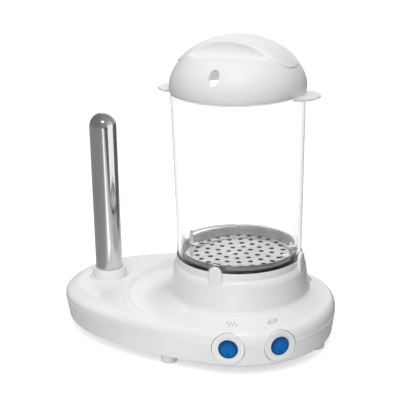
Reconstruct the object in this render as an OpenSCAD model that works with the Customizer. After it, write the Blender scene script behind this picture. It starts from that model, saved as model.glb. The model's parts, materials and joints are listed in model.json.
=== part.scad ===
// Hot dog maker: an egg-shaped base with a steam tank for sausages and a heated spike for the roll.
// Frame: millimetres, +Z up, origin on the table under the middle of the base.
// The tank stands towards +X, the spike towards -X, and the two switches face -Y.

/* [Base] */
// Radius of the round end of the base, which is also half its width
body_r = 96.7; // [90:0.1:104]
// Length of the pointed end, from the tank axis to the tip
nose_len = 192.7; // [186:0.1:205]
// Bluntness of the pointed end: 2 is half an ellipse, and more is blunter
nose_power = 2.22; // [2:0.01:2.6]
// Height of the line where the two housings part
part_z = 32; // [30:0.5:36]
// Wall of both housings
wall = 2.5; // [2:0.1:3]
// Height of the underside of the lower housing
floor_z = 10; // [8:0.5:12]
// How far the lower housing draws in on its way down
lower_taper = 2.8; // [1.5:0.1:4]
// Radius along the lower edge of the lower housing
lower_edge = 4; // [2:0.5:6]
// Height of the straight wall above the parting line
rim_wall = 4; // [2:0.5:6]
// Width of the rounded shoulder beside the tank
shoulder = 8; // [5:0.5:10]
// Extra width of the shoulder along the front of the nose
nose_shoulder = 13; // [6:0.5:16]
// Height of the lip that keys the lower housing into the upper one
lip_h = 3; // [2:0.5:4]
// Thickness of that lip
lip_t = 1.5; // [1:0.1:2]
// Gap between the lip and the upper housing
lip_gap = 0.25; // [0.15:0.05:0.4]

/* [Top surface] */
// Height of the top where it meets the tank collar
collar_z = 55; // [53:0.5:58]
// Height of the dish round the collar, at its outer edge
dish_z = 44.5; // [43:0.5:46]
// Radius at which the dish is level
dish_r = 104; // [100:1:108]
// Distance from the tank axis to the crease where the step up to the nose starts
dish_len = 117; // [110:1:120]
// Half width of the ellipse that the crease follows
dish_half = 95; // [90:1:100]
// Width of the step at the front
step_front = 5; // [4:0.5:8]
// Width of the step at the rear
step_rear = 12; // [8:0.5:14]
// Height of the nose at that step
nose_z = 49; // [48:0.5:51]
// Fall of the nose from the step to the spike
nose_fall = 2.2; // [1:0.1:3]
// How much the nose leans to the front: its rise from the middle to the rear edge
nose_lean = 2.5; // [0:0.5:4]

/* [Collar] */
// How much wider the collar is at its foot than near its top
collar_lean = 2.9; // [1.5:0.1:4]
// Height of the rim of the collar
rim_z = 93; // [91:0.5:96]
// Thickness of the rim
rim_t = 3.5; // [3.1:0.1:4.5]
// Wall of the collar
collar_wall = 3; // [2.5:0.1:3.5]
// Rounding of the rim, measured downwards
rim_round = 5; // [3:0.5:7]
// Fillet at the foot of the collar
collar_fillet = 4; // [2:0.5:5]
// Depth of the ledge below the rim
ledge_depth = 6.5; // [5.5:0.5:8]
// Width of the ledge that carries the bowl
ledge_w = 5; // [4:0.1:6]
// Thickness of the ledge
ledge_t = 3; // [2:0.5:4]
// Width of each of the four lugs on the rim
lug_w = 13.4; // [11:0.1:16]
// Thickness of a lug
lug_t = 2.6; // [2:0.1:2.8]
// Height of a lug above the rim
lug_h = 6.5; // [5:0.5:8]
// Gap between a lug and the arch of the container
lug_gap = 0.6; // [0.4:0.1:1]

/* [Heating bowl] */
// Thickness of the steel of the bowl
bowl_t = 1; // [0.8:0.1:1.2]
// Outer radius of the wall of the bowl
bowl_r = 56.5; // [55:0.1:58]
// Gap between the bowl and the ledge
bowl_gap = 1.5; // [1:0.1:2]
// Depth of the bowl
bowl_depth = 24; // [20:1:26]
// Rounding between the wall and the floor of the bowl
bowl_round = 6; // [4:0.5:8]
// Thickness of the seal under the flange
seal_t = 1.5; // [1:0.1:2]
// Radius of the aluminium heat plate
plate_r = 46; // [43:0.5:48]
// Thickness of the heat plate
plate_t = 6; // [5.5:0.1:7]
// Radius of the ring that the heating element follows
element_ring_r = 36; // [34:0.5:38]
// Radius of the heating element's tube
element_r = 2.5; // [2:0.1:2.7]
// Sweep of the heating element
element_sweep = 310; // [270:5:325]
// Width of the clamp bar under the heat plate
bar_w = 16; // [12:0.5:18]
// Thickness of the clamp bar
bar_t = 1.5; // [1:0.1:2.5]

/* [Spike] */
// Distance of the spike from the tank axis
spike_reach = 149; // [144:1:155]
// Radius of the spike
spike_r = 14; // [13:0.1:14.6]
// Wall of the spike tube
spike_wall = 1.2; // [0.8:0.1:1.6]
// Height of the tip of the spike
spike_top = 225; // [190:1:245]
// Outer radius of the white ring round the foot of the spike
ring_r = 17.75; // [17:0.05:19]
// Height of that ring
ring_h = 10; // [8:0.5:12]
// Wall of the ring's neck through the housing
neck_t = 1.3; // [1:0.1:1.6]
// Radius of the flange at the foot of the tube
spike_flange_r = 19; // [18:0.5:20]
// Thickness of that flange
spike_flange_t = 1.5; // [1:0.1:2]
// Thickness of the plate that holds the flange
retainer_t = 2.5; // [2:0.1:3.5]
// Radius of the rod heater inside the spike
rod_r = 5; // [4:0.5:7]
// Length of the insulator in the foot of the tube
insulator_h = 14; // [10:0.5:18]

/* [Switches] */
// Angles of the two switches round the tank, from -Y towards +X
switch_angles = [14, 44.5];
// Height of the middle of the switches
switch_z = 28.8; // [28.5:0.1:31]
// Outer radius of the white dish round a switch
holder_r = 15.9; // [15:0.1:16.1]
// Depth of the dish part
holder_depth = 12.5; // [10:0.5:14]
// Gap between the dish part and the housings
holder_gap = 0.15; // [0.1:0.05:0.3]
// Radius of the bezel of the switch
bezel_r = 11.8; // [11.2:0.1:13]
// Thickness of the bezel
bezel_t = 2; // [1.6:0.1:2.4]
// Radius of the switch body
switch_r = 10.2; // [10:0.1:10.6]
// Depth of the switch body behind the bezel
switch_depth = 20; // [17:0.5:24]
// Radius of the rocker
rocker_r = 9.25; // [8.6:0.05:9.4]
// Gap round the rocker
rocker_gap = 0.3; // [0.25:0.05:0.4]
// Angle between the two positions of the rocker
rocker_throw = 22; // [16:1:26]
// Radius of the pivot pins of the rocker
pivot_r = 1.2; // [1:0.05:1.3]
// Radial clearance of the pivot pins
pivot_gap = 0.05; // [0.03:0.01:0.08]

/* [Container] */
// Gap between the clear container and the rim of the collar
tank_gap = 0.9; // [0.6:0.1:1.2]
// How much wider the container is at its top than at that rim
tank_flare = 3.4; // [2.4:0.1:4.4]
// Wall of the container
tank_wall = 3; // [2.4:0.1:3]
// Height of the top of the container
tank_top = 259; // [250:1:275]
// How far the two ears stand out from the container
ear_out = 17.5; // [14:0.5:21]
// Radius of the rounded ears
ear_r = 20; // [16:0.5:24]
// Thickness of an ear
ear_t = 2.5; // [2:0.1:3.5]
// Width of the raised edge round each lug
arch_w = 2; // [1.5:0.1:3]
// How far that edge stands out from the container
arch_out = 2; // [1.5:0.1:2.5]

/* [Lid] */
// How far the lid stands out over the container
lid_over = 1.2; // [0.8:0.1:2]
// Height of the dome above its widest line
dome_h = 48; // [44:0.5:54]
// Height of the rounded edge between the seat and the widest line
lid_edge = 5; // [4:0.5:6]
// Wall of the lid
lid_wall = 2.5; // [2:0.1:3]
// Depth of the plug that enters the container
plug_depth = 2; // [1.5:0.5:4]
// Gap between the plug and the container
plug_gap = 0.6; // [0.4:0.1:1]
// Half the width of the grip band across the lid
band_half = 22; // [20:0.5:24]
// Height of the ends of the grip band above the widest line of the lid
band_foot = 22; // [20:0.5:26]
// How far the band stands above the dome
band_rise = 1; // [0.6:0.1:1.6]
// Height of the floors of the two finger scoops above the widest line of the lid
scoop_rise = 31.5; // [29:0.5:34]
// Radius of the round under the grip band in each scoop
scoop_r = 8.5; // [7:0.5:9.5]
// How far that round reaches in under the band
scoop_under = 1.8; // [1:0.1:2.5]
// Half width and half height of the steam vent
vent_half = [5, 8.4];
// Height of the vent above the widest line of the lid
vent_rise = 19.7; // [17:0.1:22]

/* [Tray] */
// Gap between the tray and the container
tray_gap = 1.1; // [0.8:0.1:1.5]
// Thickness of the steel of the tray
tray_t = 1; // [0.8:0.1:1.2]
// Height of the tray's wall
tray_h = 9.5; // [8:0.5:12]
// Height of the tray's floor above its foot
tray_floor = 4; // [3:0.5:5]
// Radius of the wire bead round the tray's rim
bead_r = 1; // [0.8:0.1:1.2]
// Radius of the holes in the floor
hole_r = 2.6; // [2:0.1:3]
// Distance between the rings of holes
hole_step = 11; // [9:0.5:11.5]
// Radius of the wire of the bail
wire_r = 1.25; // [1:0.05:1.4]
// Distance of the bail's middle line from the outside of the tray
bail_in = 1.8; // [1.4:0.1:2.2]
// Height of the bail's pivots above the tray's floor
pivot_h = 11; // [9.5:0.5:13]
// Gap between the folded bail and the rim of the tray
bail_gap = 0.35; // [0.3:0.05:0.6]
// Width of an eyelet plate
eyelet_w = 8; // [7:0.5:10]
// Thickness of an eyelet plate
eyelet_t = 1.2; // [1:0.1:1.6]
// Radial clearance of the bail in the eyelets
eyelet_gap = 0.08; // [0.05:0.01:0.1]

/* [Feet and fasteners] */
// Radius of a foot
foot_r = 8; // [7:0.5:9]
// Distance of the feet from the outline of the base
foot_inset = 15; // [13:0.5:18]
// Radius of the plug of a foot
foot_plug_r = 3; // [2.5:0.1:3.6]
// Distance of the screw posts from the outline of the base
post_inset = 18; // [16:0.5:20]
// Radius of a screw post
post_r = 5; // [4.8:0.1:6]
// Height at which the posts of the two housings meet
post_z = 24; // [22:0.5:26]
// Radius of the housing screws
screw_r = 1.5; // [1.3:0.1:1.7]
// Radius of the heads of the housing screws
head_r = 3; // [2.6:0.1:3.3]
// Height of the screw heads
head_h = 2.2; // [1.6:0.1:2.6]
// Length of a housing screw under its head
screw_len = 20; // [16:0.5:22]
// Radial clearance of screws in their holes
screw_gap = 0.1; // [0.05:0.05:0.2]

/* [Mains inlet] */
// Distance of the cord gland from the tank axis, towards the nose
gland_x = 34; // [28:1:44]
// Height of the cord gland
gland_z = 21; // [20.5:0.5:22]
// Radius of the gland's bore
cord_r = 3.6; // [3:0.1:4]
// Wall of the gland's neck
gland_wall = 2; // [1.6:0.1:2.4]
// Length of the gland's inner sleeve
gland_sleeve = 10; // [6:0.5:14]
// Radius of the leads inside the base
lead_r = 0.9; // [0.7:0.1:1]
// Length of the terminal block
block_l = 34; // [30:1:38]
// Width of the terminal block
block_w = 16; // [14:1:18]
// Height of the terminal block
block_h = 13; // [11:0.5:14]

/* [Hidden] */
$fn = 64;
// A cut runs this far past the faces that it opens
over = 0.5;
// Clearance of pieces that sit still in their holes
slip = 0.1;
// Broken edges of moulded pieces
chamfer = 0.5;
// Radii from the bowl outwards, and from the rim inwards
ledge_in_r = bowl_r + bowl_gap;
rim_in_r = ledge_in_r + ledge_w;
collar_top_r = rim_in_r + rim_t;
collar_r = collar_top_r + collar_lean;
tank_low_r = rim_in_r - tank_gap;
tank_top_r = tank_low_r + tank_flare;
ear_reach = tank_top_r + ear_out;
lid_r = tank_top_r + lid_over;
tray_r = tank_low_r - tank_wall - tray_gap;
bail_r = tray_r - bail_in;
tank_x = (nose_len - body_r) / 2;
spike_x = tank_x - spike_reach;
// Steps along the outline, finer round the nose than round the tank
round_steps = 24;
nose_steps = 36;
outline_angles = concat(
    [for (i = [0:round_steps - 1]) -90 + 180 * i / round_steps],
    [for (i = [0:nose_steps - 1]) 90 + 180 * i / nose_steps]
);
// Shares of the way from the collar to the shoulder at which the top and its underside are drawn
top_shares = [1, 0.9, 0.8, 0.72, 0.66, 0.61, 0.57, 0.53, 0.49, 0.45, 0.4, 0.3, 0.2, 0.1, 0];
under_shares = [1, 0.8, 0.66, 0.57, 0.49, 0.4, 0.2, 0];
// The step widens from the front to the rear between these places, and fades in towards the nose
step_turn = 50;
step_blend = 60;
step_fade = 20;
// The top runs a little past the inner face of the collar's wall
hub_r = collar_r - collar_wall - 2 * over;
wall_top = part_z + rim_wall;
inner_floor = floor_z + wall;
// The collar's foot lies below the top, and its fillet spreads over it
collar_sink = 1.6;
fillet_out = 2.5;
ledge_z = rim_z - ledge_depth;
flange_z = ledge_z + seal_t + bowl_t;
flange_gap = 0.4;
flange_r = rim_in_r - flange_gap;
bowl_floor = flange_z - bowl_depth;
plate_z = bowl_floor - plate_t;
bar_x = (bowl_r + collar_wall_in(ledge_z - ledge_t)) / 2;
bar_end_r = 4;
lug_in = 0.3;
lug_r = rim_in_r + lug_in;
// The arches of the container end a little above the rim of the collar
arch_lift = 0.6;
// Screw bosses, and the spare depth of the holes in them
boss_t = 1.6;
boss_r = screw_r + boss_t;
spare = 1;
hole_screw_r = screw_r + screw_gap;
post_bottom = 6;
post_seat = post_z - post_bottom;
head_gap = 0.4;
clamp_screw_len = 12;
post_angles = [22, 122, 152, -22, -122, -152];
foot_angles = [0, 102.4, 180, -102.4];
foot_round = 2;
// Lip of a plug behind its hole: how far out, how long
plug_lip = 1.2;
plug_lip_h = 2;
// The ring of the spike stands on a seat just above the top
seat_rise = 0.5;
seat_z = nose_height(spike_reach, 0) + seat_rise;
ring_gap = 0.15;
neck_h = 6;
neck_r = spike_r + ring_gap + neck_t;
spike_boss_r = ring_r + spike_flange_t;
spike_foot = seat_z - neck_h;
retainer_z = spike_foot - spike_flange_t - retainer_t;
ear_margin = 0.9;
retainer_ear_r = boss_r + ear_margin;
retainer_screw_y = spike_flange_r + boss_r + ear_margin;
retainer_bite = 5;
// Pins of the two heaters
pin_len = 10;
pin_r = 1.2;
rod_pin_r = 0.8;
rod_pin_x = 2;
// Flat tabs of the switches and the thermostat
tab_w = 6.3;
tab_t = 0.8;
tab_len = 8;
tab_pitch = 6;
// The thermostat and the fuse sit on the heat plate, one on each side of the bar
sensor_out = 14;
sensor_y = bar_w / 2 + sensor_out;
stat_cap_r = 8;
stat_cap_h = 4;
stat_body_r = 7;
stat_body_h = 6;
stat_tab_x = 4;
fuse_r = 2.6;
fuse_len = 18;
fuse_wire_r = 0.6;
fuse_wire_len = 34;
clip_t = 0.8;
clip_w = 8;
clip_foot = 4;
clip_in_r = fuse_r + 2 * slip;
// The face of the dish is flush with the round wall at its left and right edges
holder_face = sqrt(pow(body_r, 2) - pow(holder_r, 2));
bezel_out = 0.5;
dish_depth = bezel_t - bezel_out;
switch_end = dish_depth + switch_depth;
switch_back = 6;
hinge_in = 1;
pivot_end = 0.4;
pivot_reach = switch_r - pivot_end;
rocker_face = 1.6;
rocker_back = 4;
lamp_r = 2;
lamp_len = 10;
tray_z = flange_z;
tray_deck = tray_z + tray_floor + tray_t;
tray_rim = tray_z + tray_h;
hole_rings = 4;
bail_z = tray_deck + pivot_h;
eyelet_side = 0.6;
eyelet_x = bail_r - wire_r - eyelet_side - eyelet_t;
eyelet_foot = 8;
// The turned ends are drawn a little thinner than the wire
hook_thin = 0.05;
hook_r = wire_r - hook_thin;
hook_out = 1.5;
bail_rest = asin((bail_z - wire_r - bail_gap - tray_rim - bead_r) / bail_r);
lid_z = tank_top + lid_edge;
plug_r = tank_in(tank_top) - plug_gap;
scoop_y = band_half - scoop_under + scoop_r;
scoop_z = lid_z + scoop_rise + scoop_r;
vent_tilt = 55;
vent_depth = 16;
// The gland stands a little out of the rear wall
cord_x = tank_x - gland_x;
gland_out = 1;
gland_head = 2.4;
gland_y = body_r * pow(1 - pow(gland_x / nose_len, nose_power), 1 / nose_power) + gland_out;
gland_seat = gland_y - gland_head;
gland_boss = 6;
gland_boss_t = 3;
gland_lip = 2.1;
neck_cord_r = cord_r + gland_wall;
// Cord clamp: half the distance of its screws, its place, its bar, its screws
clamp_half = 9;
clamp_in = 24;
clamp_y = gland_seat - clamp_in;
clamp_t = 5;
clamp_end_r = 4;
clamp_arch = 1;
cord_screw_len = 11;
// Terminal block: its place beside the nearest screw post, its ways for leads and its screws
block_clear = 7.59;
block_in = 44;
block_corner = [outline(post_angles[1], post_inset)[0] + block_clear, gland_seat - block_in, inner_floor];
way_z = 5;
way_r = 2.2;
way_screw_r = 1.9;
way_screw_len = 7;
way_drop = 1.2;
way_before = 2;
lead_bite = 0.8;
// How far each lead heads straight on before it bends: at the block, and from a switch
block_bow = 30;
switch_bow = 30;
pair_bow = 18;
stat_bow = 35;
spike_bow = 60;
// The same below the tabs and pins, and beside the fuse
stat_dip = 12;
tab_dip = 15;
far_pin_dip = 19;
near_pin_dip = 8;
rod_dip = 10;
fuse_bow = 12;
fuse_block_bow = 25;

// Shapes and rules that several sub-parts share

// Soft step from 0 to 1
function soft(u) = u <= 0 ? 0 : u >= 1 ? 1 : u * u * (3 - 2 * u);

// A sine or cosine bent so that the outline of the nose is blunter than an ellipse
function blunt(v) = sign(v) * pow(abs(v), 2 / nose_power);

// Plan outline of the base, drawn in by d: half a circle round the tank, a blunt half ellipse to the nose
function outline(t, d) = [
    tank_x + (cos(t) < 0 ? (nose_len - d) * blunt(cos(t)) : (body_r - d) * cos(t)),
    (body_r - d) * (cos(t) < 0 ? blunt(sin(t)) : sin(t))
];

// Height of the dish that falls away from the collar
function dish_height(r) =
    dish_z + (collar_z - dish_z) * pow(max(0, dish_r - r) / (dish_r - collar_r), 2);

// Height of the nose, which falls gently towards its tip and its front
function nose_height(r, y) =
    nose_z - nose_fall * (r - dish_r) / (spike_reach - dish_r) + nose_lean * y / body_r;

// How far a place, seen from the tank axis, lies beyond the crease of the dish
function beyond_crease(q) = norm(q) * (1 - 1 / norm([q[0] / dish_len, q[1] / dish_half]));

// Share of the step that is climbed at a place: steep at the crease and level at the nose
function step_share(q) =
    let (w = step_front + (step_rear - step_front) * soft((q[1] + step_turn) / step_blend))
    let (u = max(0, min(1, beyond_crease(q) / w)))
    (1 - pow(1 - u, 2)) * soft(-q[0] / step_fade);

// Height of the top surface at a place in plan
function top_height(p) =
    let (q = p - [tank_x, 0], r = norm(q), s = step_share(q))
    dish_height(r) * (1 - s) + nose_height(r, q[1]) * s;

// Width of the shoulder at an angle along the outline: widest along the front of the nose
function shoulder_at(t) = shoulder + nose_shoulder * soft(-cos(t)) * soft((1 - sin(t)) / 2);

// A point of the shoulder: a is 0 at the wall and 90 at the top, t inside the wall by depth
function shoulder_point(t, a, depth) =
    let (w = shoulder_at(t), edge = top_height(outline(t, w)))
    let (p = outline(t, w * (1 - cos(a)) + depth * cos(a)))
    [p[0], p[1], wall_top + (edge - wall_top) * sin(a) - depth * sin(a)];

// A point of the top, a share s of the way from the collar to the shoulder
function top_point(t, s, depth) =
    let (e = outline(t, shoulder_at(t)), c = [tank_x + hub_r * cos(t), hub_r * sin(t)])
    let (p = c + s * (e - c))
    [p[0], p[1], top_height(p) - depth];

// Faces between neighbouring rings of n points; a closed loop also joins the last ring to the first
function band_faces(n, rings, loop) = [
    for (k = [0:rings - (loop ? 1 : 2)], i = [0:n - 1])
        let (j = (i + 1) % n, up = ((k + 1) % rings) * n)
        each [[k * n + i, up + j, k * n + j], [k * n + i, up + i, up + j]]
];

// Faces of a solid drawn as open rings, with a flat cap at each end
function capped_faces(n, rings) = concat(
    band_faces(n, rings, false),
    [[for (i = [0:n - 1]) i]],
    [[for (i = [n - 1:-1:0]) (rings - 1) * n + i]]
);

function ring_at(d, z) = [for (t = outline_angles) let (p = outline(t, d)) [p[0], p[1], z]];

// Inner radius of the collar below its ledge
function collar_wall_in(z) =
    collar_r - collar_wall
    - (collar_r - collar_top_r) * (z - collar_z) / (rim_z - rim_round - collar_z);

// Outer and inner radius of the container
function tank_out(z) = tank_low_r + (tank_top_r - tank_low_r) * (z - rim_z) / (tank_top - rim_z);
function tank_in(z) = tank_out(z) - tank_wall;

// Half ellipse of the dome, grown by g
function dome_profile(g) = [
    for (a = [0:6:90]) [(lid_r + g) * cos(a), lid_z + (dome_h + g) * sin(a)]
];

// Quarter ellipse of the lid's lip, from the tank's edge to just below the widest line
function lip_profile() = [
    for (a = [-90:15:-15]) [tank_top_r + lid_over * cos(a), lid_z + lid_edge * sin(a)]
];

// A curve that leaves p[0] towards p[1] and arrives at p[3] from p[2], and its heading
function curve(p, u) =
    pow(1 - u, 3) * p[0] + 3 * u * pow(1 - u, 2) * p[1] + 3 * u * u * (1 - u) * p[2] + pow(u, 3) * p[3];
function heading(p, u) =
    let (d = pow(1 - u, 2) * (p[1] - p[0]) + 2 * u * (1 - u) * (p[2] - p[1]) + u * u * (p[3] - p[2]))
    d / norm(d);

// The way a lead leaves a switch, the end of tab k of that switch, and the mouth of way k of the block
function tab_way(i) = [-sin(switch_angles[i]), cos(switch_angles[i]), 0];
function tab_end(i, k) =
    [tank_x, 0, switch_z + k * tab_pitch] + (switch_end + tab_len - holder_face) * tab_way(i);
function way_mouth(k) = block_corner + [block_l * (k + 0.5) / 3, 0, way_z - way_drop];

module at_tank() translate([tank_x, 0, 0]) children();
module at_spike() translate([spike_x, 0, 0]) children();

// Puts a switch part, drawn facing -Y round the origin, at its place on the base
module at_switch(i)
    at_tank() rotate([0, 0, switch_angles[i]]) translate([0, -holder_face, switch_z]) children();

// A revolved piece whose axis is Y: the profile is [radius, distance inwards]
module along_y(points) rotate([-90, 0, 0]) rotate_extrude() polygon(points);

module at_outline(angles, inset)
    for (t = angles) translate(outline(t, inset)) children();

// A cut that runs along Y from y0 to y1
module bore_y(r, y0, y1) translate([0, y0, 0]) rotate([-90, 0, 0]) cylinder(r = r, h = y1 - y0);

module switch_holes()
    for (i = [0, 1]) at_switch(i) bore_y(holder_r + holder_gap, -holder_r / 2, holder_depth + holder_gap);

// A screw with a flat round head, pointing up, its head seated at z = 0
module screw(r, head, head_height, length) {
    cylinder(r = r, h = length);
    translate([0, 0, -head_height]) cylinder(r = head, h = head_height);
}

// Housings

module upper_shell() {
    rings = concat(
        [ring_at(0, part_z)],
        [for (a = [0, 22.5, 45, 67.5]) [for (t = outline_angles) shoulder_point(t, a, 0)]],
        [for (s = top_shares) [for (t = outline_angles) top_point(t, s, 0)]],
        [for (i = [len(under_shares) - 1:-1:0])
            [for (t = outline_angles) top_point(t, under_shares[i], wall)]],
        [for (a = [45, 0]) [for (t = outline_angles) shoulder_point(t, a, wall)]],
        [ring_at(wall, part_z)]
    );
    polyhedron([for (r = rings) each r], band_faces(len(outline_angles), len(rings), true));
}

module collar() {
    foot = collar_z - collar_sink;
    inner = ledge_z - ledge_t;
    lip = rim_in_r + chamfer;
    at_tank() rotate_extrude() polygon(concat(
        [[collar_wall_in(foot), foot]],
        [for (a = [90:-15:0]) [
            collar_r + fillet_out * (1 - cos(a)),
            foot + collar_fillet * (1 - sin(a))
        ]],
        [for (a = [0:15:90]) [
            lip + (collar_top_r - lip) * cos(a),
            rim_z - rim_round * (1 - sin(a))
        ]],
        [[rim_in_r, rim_z - chamfer], [rim_in_r, ledge_z], [ledge_in_r, ledge_z],
         [ledge_in_r, inner], [collar_wall_in(inner), inner]]
    ));
}

// Front view of a lug: a round top on a straight foot
module lug_shape(half, top, low) {
    translate([0, top]) circle(r = half);
    translate([-half, low]) square([2 * half, max(over, top - low)]);
}

// One lug: a slice of a ring with a round top
module lug() {
    low = ledge_z + 2 * over;
    rise = rim_z + lug_h - low;
    intersection() {
        difference() {
            translate([0, 0, low]) cylinder(r = lug_r + lug_t, h = rise);
            translate([0, 0, low - over]) cylinder(r = lug_r, h = rise + 2 * over);
        }
        rotate([90, 0, 0]) linear_extrude(2 * lug_r) lug_shape(lug_w / 2, rim_z + lug_h - lug_w / 2, low);
    }
}

module upper_housing() color("white") difference() {
    boss_z = retainer_z + retainer_t;
    union() {
        upper_shell();
        collar();
        at_tank() for (a = [0:90:270]) rotate([0, 0, a]) lug();
        for (t = post_angles) let (p = outline(t, post_inset))
            translate([p[0], p[1], post_z]) cylinder(r = post_r, h = top_height(p) - wall / 2 - post_z);
        at_spike() translate([0, 0, spike_foot]) cylinder(r = spike_boss_r, h = neck_h);
        at_spike() for (s = [-1, 1]) translate([0, s * retainer_screw_y, boss_z])
            cylinder(r = boss_r, h = seat_z - wall / 2 - boss_z);
        at_tank() for (s = [-1, 1]) translate([s * bar_x, 0, plate_z])
            cylinder(r = boss_r, h = ledge_z - ledge_t / 2 - plate_z);
    }
    at_spike() translate([0, 0, spike_foot - over]) cylinder(r = neck_r + slip, h = neck_h + 2 * over);
    at_spike() translate([0, 0, seat_z]) cylinder(r = ring_r + 2 * slip, h = ring_h);
    at_spike() for (s = [-1, 1]) translate([0, s * retainer_screw_y, boss_z - over])
        cylinder(r = hole_screw_r, h = over + retainer_bite + spare);
    at_outline(post_angles, post_inset) translate([0, 0, post_z - over])
        cylinder(r = hole_screw_r, h = over + post_seat + screw_len + spare - post_z);
    at_tank() for (s = [-1, 1]) translate([s * bar_x, 0, plate_z - over])
        cylinder(r = hole_screw_r, h = over + clamp_screw_len - bar_t + spare);
    switch_holes();
}

module lower_shell() {
    n = len(outline_angles);
    lip_out = wall + lip_gap;
    rings = concat(
        [for (a = [90, 45, 0]) ring_at(
            lower_taper + lower_edge * (1 - cos(a)), floor_z + lower_edge * (1 - sin(a)))],
        [ring_at(0, part_z), ring_at(lip_out, part_z), ring_at(lip_out, part_z + lip_h),
         ring_at(lip_out + lip_t, part_z + lip_h), ring_at(lip_out + lip_t, part_z - lip_h),
         ring_at(wall + lower_taper / 2, part_z - 2 * lip_h),
         ring_at(wall + lower_taper, floor_z + lower_edge), ring_at(lower_taper + lower_edge, inner_floor)]
    );
    polyhedron([for (r = rings) each r], capped_faces(n, len(rings)));
}

module lower_housing() color("white") difference() {
    union() {
        lower_shell();
        at_outline(post_angles, post_inset) translate([0, 0, floor_z + wall / 2])
            cylinder(r = post_r, h = post_z - floor_z - wall / 2);
        translate([cord_x, 0, gland_z])
            bore_y(neck_cord_r + gland_boss_t, gland_seat - gland_boss, gland_seat);
        for (s = [-1, 1]) translate([cord_x + s * clamp_half, clamp_y, floor_z + wall / 2])
            cylinder(r = boss_r, h = gland_z - floor_z - wall / 2);
    }
    at_outline(post_angles, post_inset) {
        translate([0, 0, floor_z - over]) cylinder(r = head_r + head_gap, h = post_seat - floor_z + over);
        translate([0, 0, floor_z]) cylinder(r = hole_screw_r, h = post_z - floor_z + over);
    }
    at_outline(foot_angles, foot_inset) translate([0, 0, floor_z - over])
        cylinder(r = foot_plug_r + slip, h = wall + 2 * over);
    translate([cord_x, 0, gland_z]) {
        bore_y(neck_cord_r + slip, gland_seat - gland_boss - over, gland_y);
        bore_y(neck_cord_r + gland_lip + 2 * slip, gland_seat, gland_y + over);
    }
    for (s = [-1, 1])
        translate([cord_x + s * clamp_half, clamp_y, gland_z + clamp_t - cord_screw_len - spare])
            cylinder(r = hole_screw_r, h = cord_screw_len);
    switch_holes();
}

module feet() color("gainsboro") at_outline(foot_angles, foot_inset) rotate_extrude() polygon(concat(
    [[0, 0]],
    [for (a = [0:30:90]) [foot_r - foot_round * (1 - sin(a)), foot_round * (1 - cos(a))]],
    [[foot_r, floor_z], [foot_plug_r, floor_z], [foot_plug_r, inner_floor],
     [foot_plug_r + plug_lip, inner_floor], [foot_plug_r, inner_floor + plug_lip_h],
     [0, inner_floor + plug_lip_h]]
));

module housing_screws() color("silver") at_outline(post_angles, post_inset)
    translate([0, 0, post_seat]) screw(screw_r, head_r, head_h, screw_len);

// Tank heating

module heating_bowl() color("silver") at_tank() rotate_extrude() polygon(concat(
    [[0, bowl_floor]],
    [for (a = [-90:15:0]) [
        bowl_r - bowl_round + bowl_round * cos(a),
        bowl_floor + bowl_round + bowl_round * sin(a)
    ]],
    [[bowl_r, flange_z - bowl_t], [flange_r, flange_z - bowl_t], [flange_r, flange_z],
     [bowl_r - bowl_t, flange_z]],
    [for (a = [0:-15:-90]) [
        bowl_r - bowl_round + (bowl_round - bowl_t) * cos(a),
        bowl_floor + bowl_round + (bowl_round - bowl_t) * sin(a)
    ]],
    [[0, bowl_floor + bowl_t]]
));

module bowl_seal() color("dimgray") at_tank() translate([0, 0, ledge_z]) difference() {
    cylinder(r = flange_r - slip, h = seal_t);
    translate([0, 0, -over]) cylinder(r = ledge_in_r + over, h = seal_t + 2 * over);
}

module heat_plate() color("lightgray") at_tank() difference() {
    groove_r = element_r + slip;
    translate([0, 0, plate_z]) cylinder(r = plate_r, h = plate_t);
    rotate_extrude() union() {
        translate([element_ring_r, plate_z + plate_t / 2]) circle(r = groove_r);
        translate([element_ring_r - groove_r, plate_z - over]) square([2 * groove_r, plate_t / 2 + over]);
    }
}

// A ring-shaped tube heater whose two ends turn down into pins; the gap faces -Y
module heating_element() color("gray") at_tank() translate([0, 0, plate_z + plate_t / 2]) {
    start = 90 - element_sweep / 2;
    rotate([0, 0, start]) rotate_extrude(angle = element_sweep)
        translate([element_ring_r, 0]) circle(r = element_r);
    for (a = [start, start + element_sweep]) rotate([0, 0, a]) translate([element_ring_r, 0, 0]) {
        sphere(r = element_r);
        translate([0, 0, -plate_t / 2 - pin_len]) cylinder(r = pin_r, h = plate_t / 2 + pin_len);
    }
}

module clamp_bar() color("silver") at_tank() translate([0, 0, plate_z - bar_t]) difference() {
    union() {
        translate([-bar_x, -bar_w / 2, 0]) cube([2 * bar_x, bar_w, bar_t]);
        for (s = [-1, 1]) translate([s * bar_x, 0, 0]) cylinder(r = bar_end_r, h = bar_t);
    }
    for (s = [-1, 1]) translate([s * bar_x, 0, -over]) cylinder(r = hole_screw_r, h = bar_t + 2 * over);
}

module clamp_screws() color("gray") at_tank() for (s = [-1, 1])
    translate([s * bar_x, 0, plate_z - bar_t]) screw(screw_r, head_r, head_h, clamp_screw_len);

module thermostat() color("darkslategray") at_tank() translate([0, sensor_y, plate_z - stat_cap_h]) {
    cylinder(r = stat_cap_r, h = stat_cap_h);
    translate([0, 0, -stat_body_h]) cylinder(r = stat_body_r, h = stat_body_h);
    for (s = [-1, 1]) translate([s * stat_tab_x, 0, -stat_body_h - tab_len / 2])
        cube([tab_t, tab_w, tab_len], center = true);
}

module thermal_fuse() color("ivory") at_tank() translate([0, -sensor_y, plate_z - fuse_r])
    rotate([0, 90, 0]) {
        translate([0, 0, -fuse_len / 2]) cylinder(r = fuse_r, h = fuse_len);
        translate([0, 0, -fuse_wire_len / 2]) cylinder(r = fuse_wire_r, h = fuse_wire_len);
    }

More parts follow.
